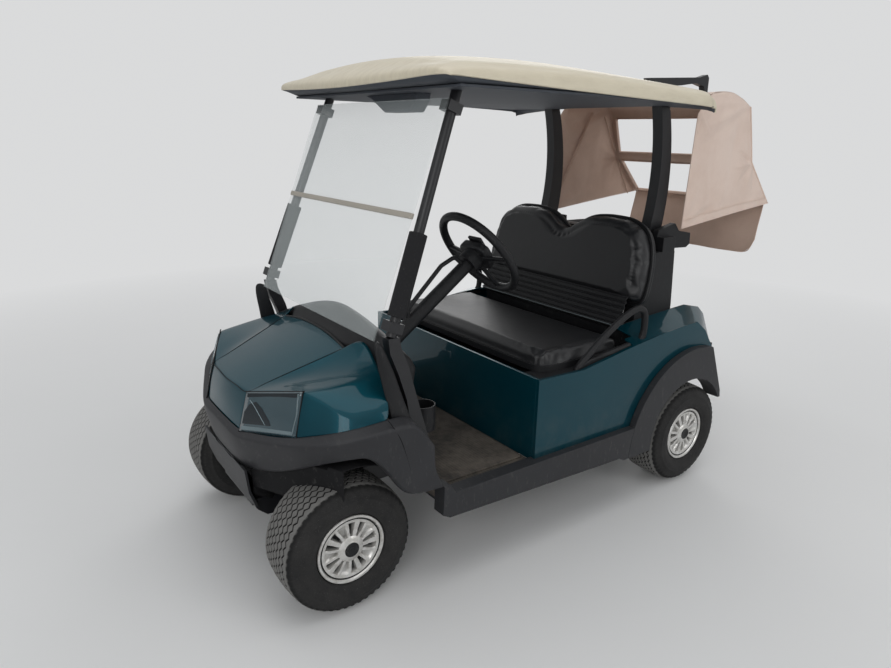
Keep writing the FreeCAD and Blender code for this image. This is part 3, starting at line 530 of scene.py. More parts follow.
def sweep(name, path, radius, sides=10, closed=False, flat=1.0):
    # A tube along a path; radius is one number in mm or one for each point of the path
    count = len(path)
    radii = radius if isinstance(radius, (list, tuple)) else [radius] * count
    rows = []
    side = None
    for k in range(count):
        before = path[(k - 1) % count] if closed else path[max(0, k - 1)]
        after = path[(k + 1) % count] if closed else path[min(count - 1, k + 1)]
        along = (after - before).normalized()
        if side is None:
            guide = Vector((0, 0, 1)) if abs(along.z) < 0.9 else Vector((0, 1, 0))
            side = along.cross(guide).normalized()
        side = (side - along * side.dot(along)).normalized()
        up = side.cross(along)
        ring = []
        for n in range(sides):
            angle = 2 * math.pi * n / sides
            ring.append(path[k] + (side * math.cos(angle) + up * math.sin(angle) * flat) * radii[k] * mm)
        rows.append(ring)
    piece = netPiece(name, rows, ringRows=closed, ringColumns=True, ends=not closed)
    recalculate(piece)
    smooth(piece, 50.0)
    return piece


def turnedPiece(name, profile, segments, closed=False):
    # A surface of revolution about the X axis; the profile is (along, radius) in mm
    along = Vector((1, 0, 0))
    rows = []
    for k in range(segments):
        angle = 2 * math.pi * k / segments
        way = Vector((0, -math.cos(angle), -math.sin(angle)))
        rows.append([along * a * mm + way * r * mm for a, r in profile])
    piece = netPiece(name, rows, ringRows=True, ringColumns=closed)
    recalculate(piece)
    smooth(piece, 35.0)
    return piece


def dress(piece, finish, body="root", replaces=()):
    piece.data.materials.clear()
    piece.data.materials.append(finishes[finish])
    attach(piece, body)
    if replaces:
        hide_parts(*replaces)
    return piece


def paired(piece, finish, replaces=()):
    # A left-hand piece and its mirror image, both fixed to the root
    other = mirrorCopy(piece, piece.name + "_right")
    piece.name = piece.name + "_left"
    for each in (piece, other):
        dress(each, finish, replaces=replaces)
    return piece, other


# Wheels

def treadProfile(settings):
    # Columns across the tread: (x, groove depth, zigzag swing)
    half = settings["treadHalf"]
    width = settings["grooveHalf"]
    columns = [(-half, 0.0, 0.0)]
    for k in range(settings["grooves"]):
        x = (k - (settings["grooves"] - 1) / 2) * settings["grooveStep"]
        swing = settings["swing"] * (1 if k % 2 else -1)
        for offset, depth in ((-width, 0.0), (-width * 0.5, 1.0), (width * 0.5, 1.0), (width, 0.0)):
            columns.append((x + offset, depth * settings["grooveDepth"], swing))
    columns.append((half, 0.0, 0.0))
    return columns


def tyreMesh():
    settings = {
        "segments": 208, "treadHalf": 77.0, "grooves": 7, "grooveStep": 20.0, "grooveHalf": 4.0,
        "grooveDepth": 6.0, "swing": 5.0, "crown": 225.6, "crownFall": 5.2, "notchDepth": 4.0,
        "inner": [(-84.0, 121.0), (-92.0, 126.0), (-95.0, 134.0), (-99.5, 140.0), (-104.0, 156.0),
                  (-104.2, 166.0), (-103.0, 175.0), (-103.6, 177.0), (-103.0, 180.0), (-101.0, 182.0),
                  (-98.5, 190.0), (-95.0, 197.0), (-93.6, 203.0)],
        "shoulder": [(-91.5, 208.0), (-89.0, 212.5), (-85.0, 216.5)],
    }
    tread = treadProfile(settings)
    wave = (0.0, 1.0, 0.0, -1.0)
    rows = []
    for k in range(settings["segments"]):
        angle = 2 * math.pi * k / settings["segments"]
        notched = settings["notchDepth"] if k % 4 in (1, 2) else 0.0
        ring = list(settings["inner"])
        ring += [(x + notched * 0.5, r - notched * 0.7) for x, r in settings["shoulder"]]
        for x, depth, swing in tread:
            place = x + swing * wave[k % 4]
            ring.append((place, settings["crown"] - settings["crownFall"] * (x / 78.0) ** 2 - depth))
        ring += [(-x - notched * 0.5, r - notched * 0.7) for x, r in reversed(settings["shoulder"])]
        ring += [(-x, r) for x, r in reversed(settings["inner"])]
        up, across = math.cos(angle), math.sin(angle)
        rows.append([Vector((x, r * across, r * up)) * mm for x, r in ring])
    piece = netPiece("tyre", rows, ringRows=True)
    recalculate(piece)
    smooth(piece, 34.0)
    return piece


def coverDepth(settings, radius, angle):
    # How far the wheel cover's face stands out, in mm, at a radius and an angle in turns
    face = settings["face"]
    inner, outer = settings["slotInner"], settings["slotOuter"]
    if radius <= inner or radius >= outer:
        return face
    share = (radius - inner) / (outer - inner)
    place = (angle * settings["fans"]) % 1.0
    depth = 0.0
    for middle, half, deep in settings["slots"]:
        off = abs(place - middle) / (half * (0.62 + 0.38 * share))
        if off < 1.0:
            wall = min(1.0, (1.0 - off) / 0.30)
            ends = min(1.0, share / 0.06, (1.0 - share) / 0.14)
            slope = deep * (1.0 - 0.45 * share)
            depth = max(depth, slope * wall * ends)
    return face - depth


def wheelCover():
    settings = {
        "face": 83.0, "fans": 5, "slotInner": 45.0, "slotOuter": 93.0,
        "slots": ((0.0, 0.15, 12.0), (1.0, 0.15, 12.0), (0.32, 0.10, 30.0), (0.68, 0.10, 30.0)),
        "segments": 240,
        "hub": [(25.0, 91.5), (27.0, 91.5), (30.0, 89.5), (36.0, 88.5), (41.0, 86.0), (43.5, 83.6)],
        "radii": [45.0, 46.5, 48.0, 51.0, 56.0, 62.0, 68.0, 74.0, 80.0, 85.0, 88.0, 90.5, 93.0],
        "rim": [(97.0, 83.6), (103.0, 84.0), (104.6, 82.0), (106.4, 82.0), (108.0, 85.5), (110.5, 89.5),
                (114.0, 90.0), (117.5, 89.6), (119.0, 87.5), (119.0, 84.2)],
    }
    rows = []
    for k in range(settings["segments"]):
        turn = k / settings["segments"]
        ring = [(x, r) for r, x in settings["hub"]]
        ring += [(coverDepth(settings, r, turn), r) for r in settings["radii"]]
        ring += [(x, r) for r, x in settings["rim"]]
        up, across = math.cos(2 * math.pi * turn), math.sin(2 * math.pi * turn)
        rows.append([Vector((x, r * across, r * up)) * mm for x, r in ring])
    piece = netPiece("cover", rows, ringRows=True)
    recalculate(piece)
    smooth(piece, 30.0)
    return piece


def wheelCap():
    profile = [(80.0, 25.5), (91.5, 25.5), (93.0, 24.5), (93.4, 22.0), (92.6, 20.5), (92.6, 9.0),
               (91.8, 8.0), (91.8, 0.01)]
    return turnedPiece("cap", profile, 48)


def wheelBack():
    # The barrel and the disc behind the cover
    segments = 96
    barrel = [(-84.2, 119.0), (-90.0, 119.0), (-90.0, 97.0), (-60.0, 95.0), (60.0, 97.0), (82.0, 104.0),
              (84.2, 119.0), (84.2, 102.5), (70.0, 102.0), (-84.2, 102.0)]
    disc = [(60.0, 10.0), (60.0, 96.0), (63.0, 96.0), (63.0, 10.0)]
    pieces = [turnedPiece("barrel", barrel, segments, closed=True),
              turnedPiece("disc", disc, segments, closed=True)]
    return joined("back", pieces)


def wheels():
    masters = {"tyre": tyreMesh(), "cover": wheelCover(), "cap": wheelCap(), "back": wheelBack()}
    leans = {"front": 0.35, "rear": 1.1}
    looks = {
        "tyre": ("tyre", "tyre_rubber"), "cover": ("silver", "silver_wheel"),
        # The barrel and disc behind the cover take the near-black seam_shadow finish: painted shade seen
        # through the slots
        "cap": ("plastic", "silver_wheel"), "back": ("seam", "silver_wheel"),
    }
    for part, master in masters.items():
        master.data.materials.append(finishes[looks[part][0]])
    for axle in ("front", "rear"):
        for side in ("left", "right"):
            name = axle + "_{}_" + side
            centre = middleOf(name.format("tyre"))
            body = axle + "_wheel_" + side
            for part, master in masters.items():
                piece = bpy.data.objects.new(part + "_" + axle + "_" + side, master.data)
                scene.collection.objects.link(piece)
                turn = 0.0 if side == "left" else math.pi
                spin = Matrix.Rotation(leans[axle], 4, "X")
                piece.matrix_world = Matrix.Translation(centre) @ Matrix.Rotation(turn, 4, "Z") @ spin
                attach(piece, body)
                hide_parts(name.format("tyre" if part == "tyre" else "rim"))
    for master in masters.values():
        bpy.data.objects.remove(master)


wheels()
print("wheels made")


# Front body

cowlNet = [
    [(0, -224, 566), (0, -216, 628), (0, -198, 688), (0, -150, 708), (0, -85, 735), (0, 25, 780),
     (0, 90, 806), (0, 137, 826)],
    [(85, -222, 564), (85, -213, 626), (86, -193, 689), (94, -140, 710), (101, -80, 734), (114, 26, 777),
     (122, 90, 803), (127, 134, 822)],
    [(165, -216, 560), (167, -204, 624), (169, -184, 689), (184, -125, 711), (197, -70, 732),
     (221, 28, 768), (237, 90, 791), (246, 127, 805)],
    [(232, -196, 568), (229, -182, 636), (226, -160, 704), (232, -112, 714), (240, -60, 725),
     (258, 32, 752), (268, 105, 784), (274, 188, 843)],
    [(300, -172, 578), (294, -156, 650), (288, -134, 720), (300, -85, 731), (312, -35, 737),
     (336, 45, 750), (345, 110, 768), (345, 184, 797)],
    [(416, -123, 604), (404, -108, 672), (392, -86, 741), (404, -50, 744), (416, -10, 746),
     (428, 50, 753), (434, 105, 760), (434, 158, 766)],
    [(455, -90, 617), (452, -68, 668), (448, -44, 716), (456, -20, 722), (464, 10, 728), (470, 58, 734),
     (474, 104, 738), (474, 150, 741)],
    [(500, -54, 632), (498, -38, 662), (494, -22, 690), (500, -2, 696), (504, 22, 701), (508, 56, 708),
     (511, 95, 712), (511, 138, 715)],
    [(530, -14, 643), (528, -4, 660), (526, 8, 674), (530, 20, 678), (533, 34, 681), (536, 60, 686),
     (539, 92, 690), (539, 128, 691)],
    [(543, 20, 648), (544, 28, 650), (545, 36, 650), (546, 48, 650), (547, 60, 650), (549, 80, 652),
     (550, 98, 654), (550, 118, 656)],
]


def cowl():
    rows = mirrorNet([[fore(*point) for point in row] for row in cowlNet])
    width = len(rows[0])
    middle = len(cowlNet) - 1
    piece = netPiece("cowl", rows)
    creaseNet(piece, width, lines=(middle - 2, middle + 2), amount=0.85)
    creaseNet(piece, width, lines=(middle - 5, middle + 5), amount=0.35)
    creaseNet(piece, width, columns=(2,), amount=0.7)
    addModifier(piece, "SUBSURF", levels=3, render_levels=3)
    addModifier(piece, "SOLIDIFY", thickness=4 * mm, offset=-1.0)
    smooth(piece, 0)
    dress(piece, "paint", replaces=["front_cowl"])
    # The thin dark joint round the bonnet lid, and the rubber seal along its rear edge
    side = rows[middle + 2][2:]
    other = rows[middle - 2][2:]
    front = [row[2] for row in rows[middle - 2:middle + 3]]
    path = list(reversed(other)) + front[1:-1] + side
    joint = sweep("bonnet_joint", curveThrough(path, 6), 1.3, 6)
    dress(joint, "seam")
    rear = [row[-1] + Vector((0, 3.0, -1.0)) * mm for row in rows[middle - 2:middle + 3]]
    seal = sweep("bonnet_seal", curveThrough(rear, 6), 5.0, 10, flat=0.8)
    dress(seal, "plastic")


def bumper():
    rim = [
        [(0, -224, 566), (0, -237, 550), (0, -236, 524), (0, -228, 474), (0, -216, 430), (0, -190, 422)],
        [(90, -221, 564), (90, -236, 548), (90, -236, 522), (90, -226, 472), (90, -214, 428),
         (90, -188, 420)],
        [(165, -216, 558), (164, -233, 542), (162, -231, 516), (160, -220, 468), (158, -208, 424),
         (150, -182, 416)],
        [(232, -196, 568), (236, -212, 552), (235, -210, 526), (232, -200, 480), (230, -190, 440),
         (220, -166, 432)],
        [(300, -172, 578), (309, -188, 563), (308, -186, 540), (305, -176, 500), (302, -166, 456),
         (290, -142, 448)],
        [(360, -148, 590), (374, -164, 576), (373, -162, 554), (370, -152, 518), (366, -142, 480),
         (352, -120, 474)],
        [(416, -123, 604), (437, -142, 590), (437, -140, 570), (434, -130, 544), (430, -116, 510),
         (416, -98, 504)],
        [(458, -90, 617), (486, -114, 602), (487, -112, 584), (485, -102, 562), (481, -90, 536),
         (465, -78, 530)],
        [(500, -54, 632), (535, -78, 617), (537, -76, 600), (535, -66, 580), (531, -54, 558),
         (514, -46, 552)],
        [(530, -14, 643), (569, -30, 628), (572, -28, 612), (570, -20, 592), (566, -10, 570),
         (546, -6, 564)],
        [(545, 40, 650), (587, 31, 636), (590, 31, 618), (588, 36, 596), (584, 42, 572), (562, 42, 566)],
        [(550, 110, 655), (593, 108, 640), (595, 108, 606), (596, 106, 556), (592, 104, 506),
         (570, 100, 498)],
        [(552, 190, 660), (592, 190, 645), (596, 190, 560), (596, 178, 484), (596, 166, 404),
         (574, 160, 396)],
        [(556, 216, 610), (593, 226, 600), (596, 226, 515), (596, 230, 458), (596, 234, 398),
         (576, 232, 390)],
        [(561, 240, 560), (594, 262, 550), (596, 262, 470), (596, 282, 432), (595, 300, 394),
         (578, 300, 386)],
    ]
    rows = mirrorNet([[fore(*point) for point in row] for row in rim])
    width = len(rows[0])
    piece = netPiece("bumper", rows)
    creaseNet(piece, width, columns=(0,), amount=1.0)
    creaseNet(piece, width, columns=(1,), amount=0.6)
    creaseNet(piece, width, columns=(4,), amount=0.35)
    addModifier(piece, "SUBSURF", levels=2, render_levels=3)
    addModifier(piece, "SOLIDIFY", thickness=4 * mm, offset=-1.0)
    smooth(piece, 0)
    dress(piece, "charcoal", replaces=["front_bumper"])
    line = [(574, 104, 668), (592, 116, 643), (598, 136, 602), (598.4, 155, 545), (598.4, 173, 488),
            (597, 204, 437), (596, 236, 398)]
    joint = sweep("arch_joint", curveThrough([fore(*point) for point in line], 5), 1.5, 6)
    paired(joint, "seam")


def wheelLiner():
    # A dark drum over each front tyre, with a wall on its inner side; the bumper bounds it in front
    settings = {"radius": 290.0, "wall": 197.0, "outer": 530.0, "low": 150.0, "knee": 220.0, "fillet": 12.0,
                "columns": 6, "from": -62, "to": 62, "step": 4, "hub": 228.0, "nose": -196.0, "rake": 0.5}
    wall = settings["wall"]
    edge = wall + settings["fillet"]
    section = [(wall, settings["low"]), (wall, settings["knee"]),
               (wall, settings["radius"] - settings["fillet"])]
    for k in range(settings["columns"] + 1):
        section.append((edge + k * (settings["outer"] - edge) / settings["columns"], settings["radius"]))
    rows = []
    for degrees in range(settings["from"], settings["to"] + 1, settings["step"]):
        angle = math.radians(degrees)
        row = []
        for x, radius in section:
            ahead = settings["nose"] + (x - wall) * settings["rake"]
            y = max(radius * math.sin(angle), ahead)
            row.append(fore(x, y, settings["hub"] + radius * math.cos(angle)))
        rows.append(row)
    piece = netPiece("wheel_liner", rows)
    addModifier(piece, "SOLIDIFY", thickness=3 * mm, offset=1.0)
    smooth(piece, 40.0)
    paired(piece, "seam")


def postCladding():
    # Level, outer x, front and rear station
    stations = [(892, 500, 104, 122), (868, 506, 100, 134), (830, 510, 104, 148), (790, 514, 112, 164),
                (745, 519, 120, 178), (700, 528, 128, 190), (650, 541, 138, 204), (600, 552, 148, 218),
                (540, 562, 164, 232)]
    rows = []
    for z, outer, near, far in stations:
        inner = outer - 46
        rows.append([fore(outer, near + 8, z), fore(outer, far, z), fore(outer - 8, far + 4, z),
                     fore(inner, far + 4, z), fore(inner, near + 40, z), fore(outer - 24, near + 16, z),
                     fore(outer - 8, near, z)])
    piece = netPiece("post_cladding", rows, ringColumns=True, ends=True)
    recalculate(piece)
    addModifier(piece, "SUBSURF", levels=2, render_levels=2)
    smooth(piece, 50.0)
    paired(piece, "plastic")


def dashCrown(x):
    # The driver's side stands higher, over the steering column
    settings = {"top": 898.0, "driverFall": 56.0, "riderFall": 92.0, "span": 350.0, "power": 1.6}
    fall = settings["driverFall"] if x > 0 else settings["riderFall"]
    return settings["top"] - fall * (abs(x) / settings["span"]) ** settings["power"]


def dash():
    settings = {
        "stations": (-464, -432, -388, -350, -312, -262, -200, -130, -65, 0, 65, 130, 200, 262, 312, 350,
                     388, 432, 464),
        "edge": ((0, 137, 826), (127, 134, 822), (246, 127, 805), (273, 180, 829), (345, 184, 797),
                 (434, 158, 766), (474, 150, 741)),
        "pockets": ((-395, -155), (66, 146), (336, 416)), "sill": 692, "lintel": 768,
    }

    def edgeAt(x):
        points = settings["edge"]
        for (a, ya, za), (b, yb, zb) in zip(points, points[1:]):
            if abs(x) <= b:
                t = (abs(x) - a) / (b - a)
                return ya + (yb - ya) * t, za + (zb - za) * t
        return points[-1][1:]

    rows = []
    for x in settings["stations"]:
        y, z = edgeAt(x)
        top = max(dashCrown(x), z + 4)
        rows.append([fore(x, *place) for place in (
            (y - 2, 720), (y + 2, z - 34), (y + 5, z - 5), (y + 12, z + 2),
            ((y + 214) / 2, (z + top) / 2 + 8), (216, top), (248, top - 1), (272, top - 16),
            (283, top - 44), (289, 772), (280, 715), (264, 660), (238, 566), (222, 562), (208, 660))])
    piece = netPiece("dash_panel", rows, ringColumns=True, ends=True)
    recalculate(piece)
    addModifier(piece, "SUBSURF", levels=2, render_levels=2)
    applyModifiers(piece)
    for low, high in settings["pockets"]:
        sill, lintel = settings["sill"], settings["lintel"]
        mouth = [fore(x, 224, z) for x, z in ((low, sill), (high, sill), (high, lintel), (low, lintel))]
        hollow = prism("hollow", mouth, Vector((0, 110 * mm, 0)), 9.0, 3)
        applyModifiers(hollow)
        addModifier(piece, "BOOLEAN", operation="DIFFERENCE", solver="EXACT", object=hollow)
        applyModifiers(piece)
        bpy.data.objects.remove(hollow)
    smooth(piece, 35.0)
    dress(piece, "plastic", replaces=["dash"])


def headlight():
    # Shapes on the lens are in shares of its width and height, from its inner upper corner
    settings = {
        "corners": [(175, -187, 690), (390, -88, 741), (410, -126, 606), (175, -220, 562)],
        "steps": 12, "patchSteps": 6, "proud": 1.0, "crown": 3.0, "patchProud": 0.7, "beadSink": 1.6,
        "wedge": (((0.03, 0.50), (0.10, 0.30), (0.22, 0.24), (0.36, 0.40), (0.52, 0.68)),
                  ((0.03, 0.80), (0.14, 0.80), (0.28, 0.80), (0.42, 0.80), (0.56, 0.80))),
        "visor": (((0.03, 0.03), (0.35, 0.03), (0.65, 0.03), (0.96, 0.03)),
                  ((0.03, 0.13), (0.35, 0.11), (0.65, 0.11), (0.95, 0.13))),
        "bar": (((0.03, 0.86), (0.35, 0.86), (0.65, 0.87), (0.93, 0.88)),
                ((0.03, 0.95), (0.35, 0.95), (0.65, 0.95), (0.93, 0.96))),
        "fork": ((0.10, 0.20), (0.20, 0.34), (0.33, 0.56), (0.46, 0.79)),
        "strip": (0.05, 0.25, 0.5, 0.75, 0.95),
    }
    corners = [fore(*corner) for corner in settings["corners"]]
    top, bottom = (corners[0], corners[1]), (corners[3], corners[2])
    out = (corners[1] - corners[0]).cross(corners[3] - corners[0]).normalized()
    out = -out if out.y > 0 else out

    def spot(u, v, proud=0.0):
        # A place on the lens, u from its inner to its outer side and v downwards
        flat = top[0].lerp(top[1], u).lerp(bottom[0].lerp(bottom[1], u), v)
        crown = settings["crown"] * math.sin(math.pi * u) * math.sin(math.pi * v)
        return flat + out * (settings["proud"] + crown + proud) * mm

    def patch(name, outline, finish):
        # A smooth shape on the lens: rows between its upper and its lower edge
        rows = []
        for i in range(settings["patchSteps"] + 1):
            share = i / settings["patchSteps"]
            row = []
            for (ua, va), (ub, vb) in zip(*outline):
                row.append(spot(ua + (ub - ua) * share, va + (vb - va) * share, settings["patchProud"]))
            rows.append(row)
        piece = netPiece(name, rows)
        smooth(piece, 0)
        paired(piece, finish)

    steps = settings["steps"]
    lens = netPiece("headlight", [[spot(j / steps, i / steps) for j in range(steps + 1)]
                                  for i in range(steps + 1)])
    addModifier(lens, "SOLIDIFY", thickness=3 * mm, offset=-1.0)
    smooth(lens, 0)
    paired(lens, "smoked", ["headlights"])
    patch("lamp_wedge", settings["wedge"], "lensDark")
    patch("lamp_visor", settings["visor"], "lensDark")
    patch("lamp_bar", settings["bar"], "lampTrim")
    fork = [spot(u, v, 0.8) for u, v in settings["fork"]]
    paired(sweep("lamp_fork", curveThrough(fork, 5), 1.6, 6, flat=0.5), "lampTrim")
    # The dark bead round the lens, sunk a little into the joint
    edges = []
    for k in range(4):
        end = 0.04 if k % 2 else 0.02
        for t in (end, 0.5, 1.0 - end):
            edges.append(corners[k].lerp(corners[(k + 1) % 4], t) - out * settings["beadSink"] * mm)
    bead = sweep("lamp_frame", curveThrough(edges, 4, closed=True), 2.6, 8, closed=True)
    paired(bead, "seam")
    # A bright strip down the outer side
    strip = [spot(0.965 - 0.03 * abs(2 * v - 1), v, 0.5) for v in settings["strip"]]
    paired(sweep("lamp_strip", curveThrough(strip, 5), 3.0, 8, flat=0.6), "lampTrim")


cowl()
bumper()
wheelLiner()
headlight()
postCladding()
dash()
print("front body made")


# Roof

roofNet = [
    (0, (250, 1646), (254, 1672), (300, 1704), (430, 1748), (850, 1764), (-160, 1732), (-60, 1708),
     (-38, 1690), (-36, 1650), (-40, 1640)),
    (300, (257, 1651), (262, 1677), (306, 1700), (430, 1738), (850, 1752), (-160, 1721), (-62, 1700),
     (-40, 1684), (-38, 1642), (-42, 1632)),
    (500, (270, 1659), (276, 1681), (320, 1696), (440, 1712), (850, 1718), (-165, 1694), (-76, 1680),
     (-50, 1668), (-48, 1626), (-52, 1618)),
    (552, (283, 1661), (289, 1677), (332, 1687), (446, 1694), (850, 1699), (-172, 1678), (-90, 1664),
     (-62, 1652), (-60, 1618), (-64, 1610)),
    (572, (296, 1661), (302, 1670), (345, 1675), (450, 1678), (850, 1678), (-176, 1655), (-96, 1645),
     (-72, 1636), (-70, 1612), (-74, 1606)),
    (579, (308, 1659), (314, 1661), (358, 1660), (455, 1656), (850, 1643), (-178, 1627), (-100, 1621),
     (-80, 1618), (-76, 1608), (-78, 1602)),
]


def roofRow(x, stations):
    # The first five stations count from the front axle, the others from the rear axle
    return [fore(x, y, z) for y, z in stations[:5]] + [aft(x, y, z) for y, z in stations[5:]]


def roofCove(net):
    # A sloping band from the rim to the lining closes the shell from below
    settings = {"inset": 7.0, "lift": 1.0, "overlap": 10.0, "reach": 0.04}
    rim = [row[0] for row in net] + net[-1][1:-1] + [row[-1] for row in reversed(net)]
    rim += list(reversed(net[0][1:-1]))
    rim.append(rim[0])
    low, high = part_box("roof_liner")
    edge = settings["overlap"] * mm
    lift = settings["lift"] * mm
    outer, inner = [], []
    for point in rim:
        inside = Vector((within(point.x, low.x + edge, high.x - edge),
                         within(point.y, low.y + edge, high.y - edge), high.z + lift))
        toward = Vector((-point.x, (low.y + high.y) / 2 - point.y, 0)).normalized()
        outer.append(point + toward * settings["inset"] * mm + Vector((0, 0, lift)))
        inner.append(inside.lerp(outer[-1], settings["reach"]))
    cove = netPiece("roof_cove", [outer, inner])
    addModifier(cove, "SOLIDIFY", thickness=2 * mm, offset=0.0)
    smooth(cove, 40.0)
    dress(cove, "lining")


def roofConsole():
    # The console that hangs from the front header, over the screen
    settings = {"front": 436, "depth": 60, "outline": (
        (-140, 1634), (212, 1634), (206, 1606), (176, 1576), (168, 1572), (2, 1572), (-8, 1577),
        (-96, 1622))}
    outline = [fore(x, settings["front"], z) for x, z in settings["outline"]]
    console = prism("roof_console", outline, Vector((0, settings["depth"] * mm, 0)), 5.0, 3)
    dress(console, "lining")


def roof():
    rows = mirrorNet([roofRow(x, stations) for x, *stations in roofNet])
    net = fineRows(rows, 5, 5)
    piece = netPiece("roof_shell", net)
    recalculate(piece)
    addModifier(piece, "SOLIDIFY", thickness=6 * mm, offset=-1.0, material_offset=1)
    smooth(piece, 0)
    dress(piece, "roof", replaces=["roof"])
    piece.data.materials.append(finishes["lining"])
    roofCove(net)
    roofConsole()


roof()
print("roof made")


# Soft goods

def flatTree(points):
    tree = kdtree.KDTree(len(points))
    for index, (a, b) in enumerate(points):
        tree.insert((a, b, 0.0), index)
    tree.balance()
    return tree


def seamGroove(piece, tree, flatten):
    # Presses a sewn line into a surface; flatten turns a vertex into the seam's plane, or gives None
    width, depth = 8.0, 3.5
    for vertex in piece.data.vertices:
        spot = flatten(vertex)
        if spot is None:
            continue
        distance = tree.find((spot[0], spot[1], 0.0))[2]
        if distance < 3 * width * mm:
            vertex.co -= vertex.normal * depth * mm * math.exp(-(distance / (width * mm)) ** 2)


def stuffed(piece, held):
    # Remesh, inflate with the cloth solver, cap the motion and subdivide once
    settings = {"voxel": 9.0, "pressure": 3.0, "stiffness": 12.0, "bending": 2.0, "mass": 0.3, "quality": 4,
                "frames": 16, "cap": 14.0, "smoothing": 4}
    addModifier(piece, "REMESH", mode="VOXEL", voxel_size=settings["voxel"] * mm)
    applyModifiers(piece)
    start = [vertex.co.copy() for vertex in piece.data.vertices]
    group = piece.vertex_groups.new(name="held")
    group.add([vertex.index for vertex in piece.data.vertices if held(vertex.co)], 1.0, "ADD")
    cloth = addModifier(piece, "CLOTH")
    cloth.settings.quality = settings["quality"]
    cloth.settings.mass = settings["mass"]
    cloth.settings.tension_stiffness = settings["stiffness"]
    cloth.settings.compression_stiffness = settings["stiffness"]
    cloth.settings.bending_stiffness = settings["bending"]
    cloth.settings.use_pressure = True
    cloth.settings.uniform_pressure_force = settings["pressure"]
    cloth.settings.vertex_group_mass = "held"
    cloth.settings.effector_weights.gravity = 0.0
    cloth.point_cache.frame_start = 1
    cloth.point_cache.frame_end = settings["frames"]
    for frameNumber in range(1, settings["frames"] + 1):
        scene.frame_set(frameNumber)
    applyModifiers(piece)
    scene.frame_set(1)
    for vertex, place in zip(piece.data.vertices, start):
        moved = vertex.co - place
        if moved.length > settings["cap"] * mm:
            vertex.co = place + moved * (settings["cap"] * mm / moved.length)
    addModifier(piece, "SMOOTH", factor=0.5, iterations=settings["smoothing"])
    addModifier(piece, "SUBSURF", levels=1, render_levels=1)
    applyModifiers(piece)
    smooth(piece, 0)


def inset(outline, amount):
    # A closed outline in a plane, moved inwards by the amount
    count = len(outline)
    area = 0.0
    for k in range(count):
        area += outline[k - 1][0] * outline[k][1] - outline[k][0] * outline[k - 1][1]
    turn = 1.0 if area > 0 else -1.0
    found = []
    for k in range(count):
        (a, b), (c, d) = outline[k - 1], outline[(k + 1) % count]
        length = math.hypot(c - a, d - b)
        found.append((outline[k][0] - turn * amount * (d - b) / length,
                      outline[k][1] + turn * amount * (c - a) / length))
    return found


def smoothOutline(half, steps):
    # A symmetric outline from its right half, in order from the lowest point, as a smooth ring
    ring = list(half) + [(-x, y) for x, y in reversed(half) if x > 0]
    curve = curveThrough([Vector((x, y, 0)) for x, y in ring], steps, closed=True)
    return [(p.x, p.y) for p in curve]


def cushion():
    settings = {"inset": 8.0, "low": 656.5, "high": 724.0, "bottom": 655.4, "ceiling": 730.0, "held": 8.0,
                "rollFrom": -790.0, "rollLength": 72.0, "droop": 12.0, "seamX": 462.0,
                "seamFrom": -870, "seamTo": -400, "seamStep": 4}
    half = [(0, -862), (300, -862), (430, -860), (472, -848), (496, -822), (505, -790), (505, -700),
            (505, -560), (505, -450), (500, -426), (484, -414), (450, -412), (200, -412), (0, -412)]
    ring = smoothOutline(half, 4)
    start = inset(ring, settings["inset"])
    outline = [aft(x, y, settings["low"]) for x, y in start]
    depth = Vector((0, 0, settings["high"] - settings["low"])) * mm
    pad = prism("seat_pad", outline, depth, 24.0, 5)
    applyModifiers(pad)
    floorLevel = (settings["low"] + settings["held"]) * mm
    # The front rolls over, so its top starts lower there
    rollStart = aft(0, settings["rollFrom"], 0).y
    for vertex in pad.data.vertices:
        ahead = max(0.0, (rollStart - vertex.co.y) / (settings["rollLength"] * mm))
        if vertex.co.z > floorLevel:
            vertex.co.z -= settings["droop"] * mm * ahead ** 2
    stuffed(pad, lambda place: place.z < floorLevel)
    for vertex in pad.data.vertices:
        vertex.co.z = within(vertex.co.z, settings["bottom"] * mm, settings["ceiling"] * mm)
    # Seams where the end caps are sewn on
    ends = []
    for sign in (1, -1):
        for y in range(settings["seamFrom"], settings["seamTo"], settings["seamStep"]):
            ends.append((sign * settings["seamX"] * mm, aft(0, y, 0).y))

    def upward(vertex):
        return (vertex.co.x, vertex.co.y) if vertex.normal.z > -0.3 else None

    seamGroove(pad, flatTree(ends), upward)
    dress(pad, "vinyl", body="seat", replaces=["seat_cushion"])
    base = prism("seat_pad_base", [aft(x, y, 655.2) for x, y in inset(ring, 4.0)],
                 Vector((0, 0, 24 * mm)), 4.0)
    dress(base, "vinyl", body="seat")


def backPlace(x, rise, depth):
    # Places on the leaning seat back: up its face and back from it
    settings = {"lean": 12.0, "foot": (-338, 862)}
    lean = math.radians(settings["lean"])
    up = Vector((0, math.sin(lean), math.cos(lean)))
    behind = Vector((0, math.cos(lean), -math.sin(lean)))
    return aft(0, *settings["foot"]) + Vector((x * mm, 0, 0)) + up * rise * mm + behind * depth * mm


